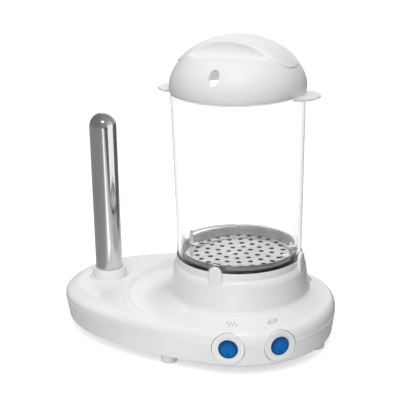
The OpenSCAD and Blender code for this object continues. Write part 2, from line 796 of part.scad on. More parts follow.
// A spring clip that wraps the fuse and is fixed to the plate at both sides
module fuse_clip() color("silver") at_tank() translate([-clip_w / 2, -sensor_y, plate_z]) rotate([90, 0, 90])
    linear_extrude(clip_w) {
        difference() {
            translate([0, -fuse_r]) circle(r = clip_in_r + clip_t);
            translate([0, -fuse_r]) circle(r = clip_in_r);
            translate([-2 * fuse_r, -fuse_r]) square([4 * fuse_r, 2 * fuse_r]);
        }
        for (s = [0, 1]) mirror([s, 0]) translate([clip_in_r, 0]) {
            translate([0, -fuse_r]) square([clip_t, fuse_r]);
            translate([0, -clip_t]) square([clip_t + clip_foot, clip_t]);
        }
    }

// Spike

module spike_tube() color("silver") at_spike() {
    tip = spike_top - spike_r;
    bore = spike_r - spike_wall;
    rotate_extrude() polygon(concat(
        [[bore, retainer_z], [spike_r, retainer_z], [spike_r, spike_foot - spike_flange_t],
         [spike_flange_r, spike_foot - spike_flange_t], [spike_flange_r, spike_foot], [spike_r, spike_foot]],
        [for (a = [0:10:90]) [spike_r * cos(a), tip + spike_r * sin(a)]],
        [for (a = [90:-10:0]) [bore * cos(a), tip + bore * sin(a)]]
    ));
}

module spike_ring() color("whitesmoke") at_spike() rotate_extrude() polygon([
    [spike_r + ring_gap, spike_foot], [neck_r, spike_foot], [neck_r, seat_z], [ring_r, seat_z],
    [ring_r - chamfer, seat_z + ring_h - 2 * chamfer], [ring_r - 3 * chamfer, seat_z + ring_h],
    [spike_r + ring_gap, seat_z + ring_h]
]);

module spike_retainer() color("gray") at_spike() translate([0, 0, retainer_z]) difference() {
    union() {
        cylinder(r = spike_flange_r, h = retainer_t);
        for (s = [-1, 1]) translate([0, s * retainer_screw_y, 0])
            cylinder(r = retainer_ear_r, h = retainer_t);
        translate([-retainer_ear_r, -retainer_screw_y, 0])
            cube([2 * retainer_ear_r, 2 * retainer_screw_y, retainer_t]);
    }
    translate([0, 0, -over]) cylinder(r = spike_r + 2 * slip, h = retainer_t + 2 * over);
    for (s = [-1, 1]) translate([0, s * retainer_screw_y, -over])
        cylinder(r = hole_screw_r, h = retainer_t + 2 * over);
}

module spike_screws() color("gray") at_spike() for (s = [-1, 1])
    translate([0, s * retainer_screw_y, retainer_z])
        screw(screw_r, head_r, head_h, retainer_t + retainer_bite);

module spike_heater() color("darkgray") at_spike() {
    translate([0, 0, retainer_z]) cylinder(r = rod_r, h = spike_top - 2 * spike_r - retainer_z);
    for (s = [-1, 1]) translate([s * rod_pin_x, 0, retainer_z - pin_len])
        cylinder(r = rod_pin_r, h = pin_len);
}

module spike_insulator() color("linen") at_spike() translate([0, 0, retainer_z]) difference() {
    cylinder(r = spike_r - spike_wall - slip, h = insulator_h);
    translate([0, 0, -over]) cylinder(r = rod_r + slip, h = insulator_h + 2 * over);
}

// Switches

module switch_dish(i) color("white") at_switch(i) along_y([
    [switch_r + slip, dish_depth], [bezel_r + 2 * slip, dish_depth], [bezel_r + 2 * slip, chamfer],
    [bezel_r + 2 * slip + chamfer, 0], [holder_r - chamfer, 0], [holder_r, chamfer],
    [holder_r, holder_depth], [switch_r + slip, holder_depth]
]);

module switch_body(i) color("whitesmoke") at_switch(i) difference() {
    cavity_r = rocker_r + rocker_gap;
    cavity = switch_end - switch_back;
    pin_hole = pivot_reach + 2 * slip;
    along_y([
        [cavity_r, -bezel_out], [bezel_r - chamfer, -bezel_out], [bezel_r, chamfer - bezel_out],
        [bezel_r, dish_depth], [switch_r, dish_depth], [switch_r, switch_end],
        [0, switch_end], [0, cavity], [cavity_r, cavity]
    ]);
    translate([-pin_hole, hinge_in, 0]) rotate([0, 90, 0])
        cylinder(r = pivot_r + pivot_gap, h = 2 * pin_hole);
}

// A rocker cut from a ball centred on its pivots, with two flats that meet in a shallow valley
module rocker(i) color("dodgerblue") at_switch(i) translate([0, hinge_in, 0])
    rotate([rocker_throw / 2, 0, 0]) {
        tip = rocker_face + rocker_r * tan(rocker_throw / 2);
        intersection() {
            sphere(r = rocker_r);
            rotate([90, 0, 90]) translate([0, 0, -rocker_r]) linear_extrude(2 * rocker_r) polygon([
                [-rocker_face, 0], [-tip, rocker_r], [rocker_back, rocker_r],
                [rocker_back, -rocker_r], [-tip, -rocker_r]
            ]);
        }
        translate([-pivot_reach, 0, 0]) rotate([0, 90, 0]) cylinder(r = pivot_r, h = 2 * pivot_reach);
    }

module switch_lamp(i) color("orange") at_switch(i)
    translate([-lamp_len / 2, switch_end - switch_back - lamp_r, 0]) rotate([0, 90, 0])
        cylinder(r = lamp_r, h = lamp_len);

module switch_tabs(i) color("gold") at_switch(i) for (k = [-1, 0, 1])
    translate([-tab_w / 2, switch_end, k * tab_pitch - tab_t / 2]) cube([tab_w, tab_len, tab_t]);

// Mains inlet and wiring

module cord_gland() color("whitesmoke") translate([cord_x, 0, gland_z]) {
    inner = gland_seat - gland_boss;
    flange = neck_cord_r + gland_lip;
    along_y([
        [cord_r, gland_y], [flange - chamfer, gland_y], [flange, gland_y - chamfer], [flange, gland_seat],
        [neck_cord_r, gland_seat], [neck_cord_r, inner], [neck_cord_r + plug_lip, inner],
        [neck_cord_r, inner - plug_lip_h], [neck_cord_r - chamfer, inner - gland_sleeve],
        [cord_r, inner - gland_sleeve]
    ]);
}

// A bar with a shallow arch, screwed to two posts of the lower housing
module cord_clamp() color("whitesmoke") translate([cord_x, clamp_y, gland_z]) difference() {
    union() {
        translate([-clamp_half, -clamp_end_r, 0]) cube([2 * clamp_half, 2 * clamp_end_r, clamp_t]);
        for (s = [-1, 1]) translate([s * clamp_half, 0, 0]) cylinder(r = clamp_end_r, h = clamp_t);
    }
    translate([0, 0, -clamp_arch]) bore_y(cord_r, -clamp_end_r - over, clamp_end_r + over);
    for (s = [-1, 1]) translate([s * clamp_half, 0, -over])
        cylinder(r = hole_screw_r, h = clamp_t + 2 * over);
}

module cord_clamp_screws() color("silver") for (s = [-1, 1])
    translate([cord_x + s * clamp_half, clamp_y, gland_z + clamp_t]) rotate([180, 0, 0])
        screw(screw_r, head_r, head_h, cord_screw_len);

// Puts a piece at each way of the terminal block, on its middle line
module at_ways() for (k = [0:2])
    translate(block_corner + [block_l * (k + 0.5) / 3, block_w / 2, way_z]) children();

module terminal_block() color("ivory") difference() {
    translate(block_corner) cube([block_l, block_w, block_h]);
    at_ways() bore_y(way_r, -block_w / 2 - over, block_w / 2 + over);
    at_ways() cylinder(r = way_screw_r + slip, h = block_h);
}

module terminal_screws() color("goldenrod") at_ways() cylinder(r = way_screw_r, h = way_screw_len);

// A lead of round section along a curve and straight on for run at its end;
// aside is a direction that the curve never takes
module lead(p, aside, run = 0) {
    sides = 8;
    steps = 18;
    curved = [for (k = [0:steps]) [curve(p, k / steps), heading(p, k / steps)]];
    line = run > 0 ? concat(curved, [[p[3] + run * heading(p, 1), heading(p, 1)]]) : curved;
    rings = [
        for (l = line)
            let (c = l[0], d = l[1], a = cross(d, aside) / norm(cross(d, aside)), b = cross(d, a))
            [for (i = [0:sides - 1]) c + lead_r * (cos(360 * i / sides) * a + sin(360 * i / sides) * b)]
    ];
    polyhedron([for (r = rings) each r], capped_faces(sides, len(rings)));
}

// A lead that ends under the screw of way k of the terminal block
module block_lead(start, out, k, aside) {
    mouth = way_mouth(k) - [0, way_before, 0];
    lead([start, start + out, mouth - [0, block_bow, 0], mouth], aside, lead_bite * block_w);
}

// From the block to the middle tab of the left switch, and on from one switch to the other
module supply_leads() color("brown") {
    block_lead(tab_end(0, 0), switch_bow * tab_way(0), 2, [0, 0, 1]);
    lead([
        tab_end(0, -1), tab_end(0, -1) + pair_bow * tab_way(0),
        tab_end(1, -1) + pair_bow * tab_way(1), tab_end(1, -1)
    ], [0, 0, 1]);
}

// From the left switch through the thermostat, the heating element and the fuse to the block
module tank_leads() color("steelblue") {
    stat = [tank_x, sensor_y, plate_z - stat_cap_h - stat_body_h - tab_len];
    stat_x = [stat_tab_x, 0, 0];
    end_a = -90 + (360 - element_sweep) / 2;
    pin = [element_ring_r * cos(end_a), element_ring_r * sin(end_a), plate_z - pin_len];
    near_pin = [tank_x + pin[0], pin[1], pin[2]];
    far_pin = [tank_x - pin[0], pin[1], pin[2]];
    fuse = [tank_x, -sensor_y, plate_z - fuse_r];
    fuse_x = [fuse_wire_len / 2, 0, 0];
    lead([
        tab_end(0, 1), tab_end(0, 1) + stat_bow * tab_way(0),
        stat + stat_x - [0, 0, stat_dip], stat + stat_x
    ], [1, 0, 0]);
    lead([
        stat - stat_x, stat - stat_x - [0, 0, tab_dip],
        far_pin - [0, 0, far_pin_dip], far_pin
    ], [1, 0, 0]);
    lead([
        near_pin, near_pin - [0, 0, near_pin_dip],
        fuse + fuse_x + [fuse_bow, 0, 0], fuse + fuse_x
    ], [0, 1, 0]);
    block_lead(fuse - fuse_x, [-fuse_block_bow, 0, 0], 1, [0, 0, 1]);
}

// From the right switch to the rod heater of the spike, and back to the block
module spike_leads() color("slategray") {
    pin = [spike_x, 0, retainer_z - pin_len];
    pin_x = [rod_pin_x, 0, 0];
    dip = [0, 0, rod_dip];
    lead([
        tab_end(1, 0), tab_end(1, 0) + spike_bow * tab_way(1),
        pin + pin_x - dip, pin + pin_x
    ], [0, 1, 0]);
    block_lead(pin - pin_x, -dip, 0, [1, -1, 1]);
}

// Tank, lid and tray

module ear() intersection() {
    translate([ear_reach - ear_r, 0, tank_top - ear_t]) difference() {
        cylinder(r = ear_r, h = ear_t);
        translate([ear_r - ear_reach, 0, -over]) cylinder(r = tank_top_r - 2 * over, h = ear_t + 2 * over);
    }
    translate([0, -ear_r, tank_top - ear_t]) cube([ear_reach, 2 * ear_r, ear_t]);
}

// Raised edge that arches over a lug
module arch() {
    half = lug_w / 2 + lug_gap;
    foot = rim_z + arch_lift;
    spring = rim_z + lug_h - lug_w / 2 + lug_gap;
    rise = lug_h + 2 * half;
    intersection() {
        difference() {
            translate([0, 0, foot]) cylinder(r = tank_low_r + arch_out, h = rise);
            translate([0, 0, foot - over]) cylinder(r = tank_low_r - 2 * over, h = rise + 2 * over);
        }
        rotate([90, 0, 0]) linear_extrude(2 * tank_low_r) difference() {
            lug_shape(half + arch_w, spring, rim_z);
            lug_shape(half, spring, rim_z - over);
        }
    }
}

module container() color("aliceblue", 0.4) at_tank() {
    rotate_extrude() polygon([
        [tank_in(flange_z), flange_z], [tank_out(flange_z), flange_z],
        [tank_out(tank_top), tank_top], [tank_in(tank_top), tank_top]
    ]);
    for (a = [0, 180]) rotate([0, 0, a]) ear();
    for (a = [0:90:270]) rotate([0, 0, a]) arch();
}

// The two finger scoops beside the grip band, grown by g: a round under the band and a flat floor
module scoops(g) for (a = [0, 180])
    rotate([0, 0, a]) translate([-lid_r, 0, 0]) rotate([90, 0, 90]) linear_extrude(2 * lid_r) {
        translate([scoop_y, scoop_z]) circle(r = scoop_r + g);
        translate([scoop_y, scoop_z - scoop_r - g]) square([lid_r, dome_h]);
    }

module lid() color("white") at_tank() difference() {
    foot = tank_top - plug_depth;
    union() {
        rotate_extrude() polygon(concat(
            [[0, foot], [plug_r - chamfer, foot], [plug_r, tank_top]],
            lip_profile(),
            dome_profile(0)
        ));
        intersection() {
            rotate_extrude() polygon(concat([[0, lid_z]], dome_profile(band_rise)));
            translate([-lid_r, -band_half, lid_z + band_foot])
                cube([2 * lid_r, 2 * band_half, dome_h]);
        }
    }
    difference() {
        rotate_extrude() polygon(concat(
            [[0, foot - over], [plug_r - chamfer - lid_wall, foot - over],
             [plug_r - lid_wall, lid_z + lid_wall]],
            [for (p = dome_profile(-lid_wall)) if (p[1] > lid_z + lid_wall) p]
        ));
        scoops(lid_wall);
    }
    scoops(0);
    translate([0, -lid_r * sqrt(1 - pow(vent_rise / dome_h, 2)), lid_z + vent_rise]) rotate([vent_tilt, 0, 0])
        translate([0, 0, -vent_depth / 2]) linear_extrude(vent_depth)
            polygon([for (a = [0:12:348]) [vent_half[0] * cos(a), vent_half[1] * sin(a)]]);
}

module tray() color("silver") at_tank() {
    difference() {
        translate([0, 0, tray_z]) cylinder(r = tray_r, h = tray_h);
        translate([0, 0, tray_z - over]) cylinder(r = tray_r - tray_t, h = tray_h + 2 * over);
    }
    translate([0, 0, tray_rim]) rotate_extrude() translate([tray_r - tray_t / 2, 0]) circle(r = bead_r);
    translate([0, 0, tray_z + tray_floor]) linear_extrude(tray_t) difference() {
        circle(r = tray_r - tray_t / 2);
        for (k = [1:hole_rings], i = [0:6 * k - 1]) rotate(60 * i / k + 30 / k)
            translate([k * hole_step, 0]) circle(r = hole_r);
        circle(r = hole_r);
    }
}

// Two upright plates with round tops that carry the bail, each with a foot on the tray's floor
module tray_eyelets() color("silver") at_tank() for (a = [0, 180]) rotate([0, 0, a])
    translate([eyelet_x, 0, tray_deck]) difference() {
        union() {
            translate([0, -eyelet_w / 2, 0]) cube([eyelet_t, eyelet_w, pivot_h]);
            translate([0, 0, pivot_h]) rotate([0, 90, 0]) cylinder(r = eyelet_w / 2, h = eyelet_t);
            translate([-eyelet_foot, -eyelet_w / 2, 0]) cube([eyelet_foot, eyelet_w, eyelet_t]);
        }
        translate([-over, 0, pivot_h]) rotate([0, 90, 0])
            cylinder(r = hook_r + eyelet_gap, h = eyelet_t + 2 * over);
    }

// A half ring of wire, folded to the rear, with both ends turned in through the eyelets
module bail() color("silver") at_tank() translate([0, 0, bail_z]) rotate([-bail_rest, 0, 0]) {
    rotate_extrude(angle = 180) translate([bail_r, 0]) circle(r = wire_r);
    for (s = [-1, 1]) translate([s * (bail_r + wire_r / 2), 0, 0]) rotate([0, -90 * s, 0])
        cylinder(r = hook_r, h = bail_r + wire_r / 2 - eyelet_x + hook_out);
}

upper_housing();
lower_housing();
feet();
housing_screws();
heating_bowl();
bowl_seal();
heat_plate();
heating_element();
clamp_bar();
clamp_screws();
thermostat();
thermal_fuse();
fuse_clip();
spike_tube();
spike_ring();
spike_retainer();
spike_screws();
spike_heater();
spike_insulator();
switch_dish(0);  // left_switch_dish
switch_body(0);  // left_switch_body
rocker(0);  // left_rocker
switch_lamp(0);  // left_switch_lamp
switch_tabs(0);  // left_switch_tabs
switch_dish(1);  // right_switch_dish
switch_body(1);  // right_switch_body
rocker(1);  // right_rocker
switch_lamp(1);  // right_switch_lamp
switch_tabs(1);  // right_switch_tabs
cord_gland();
cord_clamp();
cord_clamp_screws();
terminal_block();
terminal_screws();
supply_leads();
tank_leads();
spike_leads();
container();
lid();
tray();
tray_eyelets();
bail();
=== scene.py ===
"""Looks of a table-top hot dog maker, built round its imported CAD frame.

New pieces are surfaces on grids of points, worked out in millimetres from the sizes of the CAD model.
"""
import json
import math

import bmesh
import bpy
import numpy as np
from mathutils import Matrix


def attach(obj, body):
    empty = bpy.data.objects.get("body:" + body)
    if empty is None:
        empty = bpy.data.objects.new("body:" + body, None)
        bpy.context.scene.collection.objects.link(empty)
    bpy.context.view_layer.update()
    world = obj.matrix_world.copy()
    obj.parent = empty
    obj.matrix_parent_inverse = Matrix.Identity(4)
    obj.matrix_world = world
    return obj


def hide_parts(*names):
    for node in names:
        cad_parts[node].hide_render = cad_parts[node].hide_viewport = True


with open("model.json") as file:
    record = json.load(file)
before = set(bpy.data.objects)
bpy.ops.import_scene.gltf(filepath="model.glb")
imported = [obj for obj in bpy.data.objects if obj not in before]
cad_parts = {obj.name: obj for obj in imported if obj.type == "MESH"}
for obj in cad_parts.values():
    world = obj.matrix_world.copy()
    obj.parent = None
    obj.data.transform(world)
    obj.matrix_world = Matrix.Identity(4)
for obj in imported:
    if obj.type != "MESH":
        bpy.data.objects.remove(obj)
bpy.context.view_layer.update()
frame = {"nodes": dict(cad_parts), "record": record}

MM = 0.001
TURN = 2 * np.pi
QUARTERS = np.arange(4) * np.pi / 2
SHARP = math.radians(38.0)
NOISE_SPAN = (0.3, 0.7)

# Base
BODY_R, NOSE_LEN, NOSE_POWER = 96.7, 192.7, 2.22
TANK_X = (NOSE_LEN - BODY_R) / 2
PART_Z, WALL, FLOOR_Z = 32.0, 2.5, 9.0
LOWER_TAPER, LOWER_EDGE, LOWER_LIP = 2.8, 4.0, 0.2
WALL_TOP, SHOULDER, NOSE_SHOULDER = 36.0, 8.0, 13.0
PART_EDGE, LOWER_INSET = 0.3, -0.3
# Top surface
COLLAR_Z, DISH_Z, DISH_R = 55.0, 44.5, 104.0
DISH_LEN, DISH_HALF, STEP_FRONT, STEP_REAR = 117.0, 95.0, 5.0, 12.0
STEP_TURN_Y, STEP_TURN, STEP_FADE = -50.0, 60.0, 20.0
NOSE_Z, NOSE_FALL, NOSE_LEAN = 49.0, 2.2, 2.5
# Collar
COLLAR_R, COLLAR_TOP_R, COLLAR_WALL = 69.4, 66.5, 3.0
RIM_Z, RIM_ROUND, RIM_IN_R, RIM_EDGE = 93.0, 5.0, 63.0, 0.3
DRUM_Z, DRUM_MID, DRUM_ROUND, LIP_T, LIP_H = 77.0, 57.0, 11.0, 0.5, 3.0
LEDGE_Z, LEDGE_IN_R, LEDGE_T = 86.5, 58.0, 3.0
FILLET_R, FILLET_TOP, FILLET_PULL = COLLAR_R + 3.2, 57.6, 0.55
LUG_W, LUG_T, LUG_R, LUG_H, LUG_FOOT, LUG_EDGE = 13.4, 3.7, 63.3, 6.5, 79.0, 1.0
# Signs
SIGN_R, SIGN_SHIFT = 81.5, {"left": 2.0, "right": -1.4}
SIGN_LIFT, SIGN_T, SIGN_LINE = 0.03, 0.08, {"left": 0.36, "right": 0.34}
WAVE_GAP, WAVE_SLANT, WAVE_SWAY, WAVE_LEN = 3.4, 3.0, 0.8, 6.0
ROLL_SIZES, ROLL_SLANT = ((5.0, 2.6), (6.0, 0.9)), (0.94, 0.34)
# Spike
SPIKE_REACH, SPIKE_R, SPIKE_WALL, SPIKE_TOP = 149.0, 14.0, 1.2, 225.0
SPIKE_X = TANK_X - SPIKE_REACH
SEAT_Z, SPIKE_FOOT, RETAINER_Z = 47.3, 41.3, 37.3
FLANGE_R, FLANGE_T = 19.0, 1.5
RING_R, RING_H, RING_IN_R, NECK_R = 17.75, 10.0, 14.15, 15.45
PAD_R, PAD_BLEND = 18.4, 3.0
# Switches
SWITCH_TURNS = {"left": math.radians(14.0), "right": math.radians(44.5)}
SWITCH_Z, HOLDER_R, HOLDER_DEPTH, HOLDER_GAP = 28.8, 15.8, 12.5, 0.5
HOLDER_SEAT_R = 15.9
HOLDER_FACE = math.sqrt(BODY_R ** 2 - HOLDER_SEAT_R ** 2)
BEZEL_R, BEZEL_OUT, BEZEL_FIT, DISH_DEPTH = 11.8, 0.15, 0.05, 1.5
SWITCH_R, SWITCH_FIT, SWITCH_END, SWITCH_BACK = 10.2, 0.1, 21.5, 6.0
ROCKER_R, ROCKER_GAP, ROCKER_HALF_THROW = 9.25, 0.3, math.radians(11.0)
HINGE_IN, ROCKER_FACE, ROCKER_BACK = 1.0, 1.6, 4.0
ROCKER_FIT, ROCKER_EDGE, ROCKER_VALLEY = 0.05, 0.5, 0.4
MARK_RING, MARK_BAR = (1.3, 1.5, -4.4), (3.3, 6.0)
MARK_LINE, MARK_T, MARK_LIFT = 0.34, 0.1, 0.02
# Container
TANK_LOW_R, TANK_TOP_R, TANK_WALL = 62.1, 65.5, 3.0
TANK_FOOT, TANK_TOP = 89.0, 259.0
EAR_REACH, EAR_R, EAR_T = 83.0, 20.0, 2.5
EAR_RIM, EAR_END, EAR_TRIM, EAR_SINK = 0.1, 1.2, 0.3, 0.05
ARCH_HALF, ARCH_SPRING, ARCH_FOOT = 8.3, 93.4, 93.6
ARCH_BAR, ARCH_OUT, ARCH_TRIM = 1.0, 1.05, 0.025
# Lid
LID_R, DOME_H, DOME_POWER, LID_Z, LID_WALL = 66.7, 48.0, 1.9, 264.0, 2.5
PLUG_R, PLUG_FOOT = 61.9, 257.0
BAND_HALF, BAND_FOOT, BAND_RISE, BAND_END, BAND_EDGE = 22.0, 286.0, 1.0, (18.0, 8.6), 12.0
SCOOP_R, SCOOP_Y, SCOOP_Z = 8.5, 28.7, 304.0
SCOOP_HALF, SCOOP_THIN, SCOOP_BOW = 42.0, 6.0, 5.0
SCOOP_EDGE, SCOOP_EDGE_IN = 0.5, 1.5
LID_MIDDLE, LID_RISES, LID_ROWS = 287.0, (np.pi / 2, 0.84, 0.17, -0.04), (36, 68, 46, 20)
VENT_HALF, VENT_RISE, VENT_TILT = (5.0, 8.4), 19.7, math.radians(55.0)
# Bowl and the tray's bail
# Painted dark reflection on the outer wall of the bowl and tray: it starts at the first radius and is full at the
# second
DARK_REFLECTION_R, FULL_DARK_REFLECTION_R = 56.4, 57.6
BAIL_R, WIRE_R, BAIL_Z, BAIL_REST = 56.2, 1.25, 105.0, math.radians(3.98)
HOOK_X, HOOK_BEND = 51.6, 3.0
# Feet, posts and cord inlet
FOOT_R, FOOT_INSET, FOOT_PLUG_R, FOOT_PLUG_TOP = 8.0, 15.0, 3.0, 14.5
FOOT_TURNS = np.radians([0.0, 102.4, 180.0, -102.4])
POST_INSET, POST_R, POST_SEAT, POST_TOP = 18.0, 5.0, 18.0, 24.0
HEAD_HOLE_R, SCREW_HOLE_R = 3.4, 1.6
POST_TURNS = np.radians([22.0, 122.0, 152.0, -22.0, -122.0, -152.0])
CORD_X, GLAND_Z, GLAND_SEAT, GLAND_POCKET_R, GLAND_NECK_R = 14.0, 21.0, 94.37, 7.9, 5.7


def soft(u):
    """Soft step from 0 to 1: 3u^2 - 2u^3 between them."""
    u = np.clip(u, 0, 1)
    return u * u * (3 - 2 * u)


def coords(*parts):
    """Points, or other groups of numbers, with each part as one number of the group."""
    return np.stack(np.broadcast_arrays(*parts), axis=-1)


def grid(points, wrap_u=False, wrap_v=True):
    """Shape (points, quads) of a grid of points (rows, columns, 3); a wrap joins the last line to the first."""
    rows, cols = points.shape[:2]
    index = np.arange(rows * cols).reshape(rows, cols)
    if wrap_u:
        index = np.vstack([index, index[:1]])
    if wrap_v:
        index = np.hstack([index, index[:, :1]])
    quads = coords(index[:-1, :-1], index[:-1, 1:], index[1:, 1:], index[1:, :-1])
    return points.reshape(-1, 3), quads.reshape(-1, 4)


def merge(*shapes):
    """Several shapes as one: the points follow each other, and the faces count on."""
    starts = np.cumsum([0] + [len(p) for p, _ in shapes[:-1]])
    points = np.concatenate([p for p, _ in shapes])
    quads = np.concatenate([q + s for (_, q), s in zip(shapes, starts)])
    return points, quads


def moved(shape, turn=np.eye(3), shift=(0, 0, 0)):
    """A shape turned by a matrix and then shifted."""
    return shape[0] @ turn.T + shift, shape[1]


def turn_x(angle):
    """Matrix of a turn about X."""
    c, s = math.cos(angle), math.sin(angle)
    return np.array([[1, 0, 0], [0, c, -s], [0, s, c]])


def turn_z(angle):
    """Matrix of a turn about Z."""
    c, s = math.cos(angle), math.sin(angle)
    return np.array([[c, -s, 0], [s, c, 0], [0, 0, 1]])


def on_tank(shape, turns=(0,)):
    """A shape about Z, repeated at turns round the tank axis."""
    return merge(*[moved(shape, turn_z(a), (TANK_X, 0, 0)) for a in turns])


def revolved(profile, steps, wrap=True):
    """A profile of (radius, height) carried round Z: x = r cos v, y = r sin v, z = h."""
    profile = np.asarray(profile, float)
    v = np.linspace(0, TURN, steps, endpoint=False)
    r, h = profile[:, :1], profile[:, 1:]
    return grid(coords(r * np.cos(v), r * np.sin(v), h), wrap_u=wrap)


def rounded(corners, radii, steps):
    """A closed polygon whose corners are rounded: each is the curve (1-s)^2 A + 2s(1-s) P + s^2 B,
    from A on one side of the corner P to B on the other, both a radius away from it."""
    p = np.asarray(corners, float)
    radii = np.broadcast_to(np.asarray(radii, float), len(p))[:, None]
    back, on = np.roll(p, 1, axis=0) - p, np.roll(p, -1, axis=0) - p
    back_len = np.linalg.norm(back, axis=1, keepdims=True)
    on_len = np.linalg.norm(on, axis=1, keepdims=True)
    a = p + back / back_len * np.minimum(radii, back_len * 0.49)
    b = p + on / on_len * np.minimum(radii, on_len * 0.49)
    s = np.linspace(0, 1, steps)[None, :, None]
    curve = (1 - s) ** 2 * a[:, None] + 2 * s * (1 - s) * p[:, None] + s * s * b[:, None]
    return curve.reshape(-1, 2)


def tube(path, aside, half, other, sides, power=1.0):
    """A closed tube along a path: at each point a section half * c^power along aside and other * s^power
    across it, with c and s the cosine and sine round the section; both ends run to a point in the middle."""
    ahead = np.gradient(path, axis=0)
    ahead /= np.linalg.norm(ahead, axis=1, keepdims=True)
    across = np.cross(ahead, aside)
    across /= np.linalg.norm(across, axis=1, keepdims=True)
    up = np.cross(across, ahead)
    v = np.linspace(0, TURN, sides, endpoint=False)
    c = np.sign(np.cos(v)) * np.abs(np.cos(v)) ** power
    s = np.sign(np.sin(v)) * np.abs(np.sin(v)) ** power
    rings = path[:, None] + half * c[None, :, None] * up[:, None] + other * s[None, :, None] * across[:, None]
    first, last = np.repeat(path[:1, None], sides, axis=1), np.repeat(path[-1:, None], sides, axis=1)
    return grid(np.concatenate([first, rings, last]))


def make_mesh(name, shape):
    """A mesh of a shape in millimetres: doubles are merged, and the faces point outwards."""
    points, quads = shape
    mesh = bpy.data.meshes.new(name)
    mesh.vertices.add(len(points))
    mesh.vertices.foreach_set("co", (points * MM).astype(np.float32).ravel())
    mesh.loops.add(quads.size)
    mesh.loops.foreach_set("vertex_index", quads.astype(np.int32).ravel())
    mesh.polygons.add(len(quads))
    mesh.polygons.foreach_set("loop_start", np.arange(0, quads.size, 4, dtype=np.int32))
    mesh.update(calc_edges=True)
    mesh.validate()
    shell = bmesh.new()
    shell.from_mesh(mesh)
    bmesh.ops.remove_doubles(shell, verts=shell.verts, dist=1e-6)
    bmesh.ops.recalc_face_normals(shell, faces=shell.faces)
    shell.to_mesh(mesh)
    shell.free()
    return mesh


def carve(mesh, cutter):
    """The mesh with the volume of a shape taken out."""
    body = bpy.data.objects.new("carve_body", mesh)
    tool = bpy.data.objects.new("carve_tool", make_mesh("cutter", cutter))
    for obj in (body, tool):
        bpy.context.scene.collection.objects.link(obj)
    cut = body.modifiers.new("carve", "BOOLEAN")
    cut.operation, cut.solver, cut.object = "DIFFERENCE", "EXACT", tool
    graph = bpy.context.evaluated_depsgraph_get()
    carved = bpy.data.meshes.new_from_object(body.evaluated_get(graph))
    bpy.data.objects.remove(body)
    bpy.data.objects.remove(tool)
    return carved


def place(name, source, material, body, stands_for=()):
    """Puts a mesh or a shape into the scene as a piece that rides on a body, with its finish and the nodes it stands
    for."""
    mesh = make_mesh(name, source) if isinstance(source, tuple) else source
    mesh.name = name
    mesh.shade_smooth()
    mesh.set_sharp_from_angle(angle=SHARP)
    mesh.materials.clear()
    mesh.materials.append(material)
    piece = bpy.data.objects.new(name, mesh)
    bpy.context.scene.collection.objects.link(piece)
    if stands_for:
        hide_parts(*stands_for)
    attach(piece, body)


# Finishes


class Nodes:
    """A node tree, with short ways to add nodes to it. A value is a constant or the output of another node."""

    def __init__(self, owner):
        owner.use_nodes = True
        self.nodes, self.links = owner.node_tree.nodes, owner.node_tree.links

    def feed(self, socket, value):
        """Puts a value on an input."""
        if isinstance(value, bpy.types.NodeSocket):
            self.links.new(value, socket)
        else:
            socket.default_value = value

    def add(self, kind, values, output, operation=None, data_type=None):
        """A new node with values on its inputs; gives one of its outputs."""
        node = self.nodes.new(kind)
        if operation:
            node.operation = operation
        if data_type:
            node.data_type = data_type
        for key, value in values.items():
            self.feed(node.inputs[key], value)
        return node.outputs[output]

    def number(self, operation, first, second):
        """A sum on two numbers."""
        return self.add("ShaderNodeMath", {0: first, 1: second}, "Value", operation)

    def vector(self, operation, first, second, output):
        """A sum on two vectors; gives a vector or a number."""
        return self.add("ShaderNodeVectorMath", {0: first, 1: second}, output, operation)

    def mix(self, share, first, second):
        """A number between two others, by a share that is held between 0 and 1."""
        return self.add("ShaderNodeMix", {0: share, 2: first, 3: second}, 0)

    def mix_colour(self, share, first, second):
        """A colour between two others."""
        return self.add("ShaderNodeMix", {0: share, 6: first, 7: second}, 2, data_type="RGBA")

    def span(self, source, low, high, start, end):
        """A number from start to end, as one from low to high."""
        values = {"Value": source, "From Min": start, "From Max": end, "To Min": low, "To Max": high}
        return self.add("ShaderNodeMapRange", values, "Result")

    def along(self, source, direction, low, high, start, end):
        """The way of a vector along a direction, from start to end, as a number from low to high."""
        return self.span(self.vector("DOT_PRODUCT", source, direction, "Value"), low, high, start, end)

    def ramp(self, source, shares):
        """A number from 0 to 1 as a grey that runs through the given (place, share) pairs, both ends first."""
        node = self.nodes.new("ShaderNodeValToRGB")
        stops = node.color_ramp.elements
        for spot, share in shares:
            stop = stops[int(spot)] if spot in (0, 1) else stops.new(spot)
            stop.color = (share, share, share, 1)
        self.feed(node.inputs["Fac"], source)
        return node.outputs["Color"]


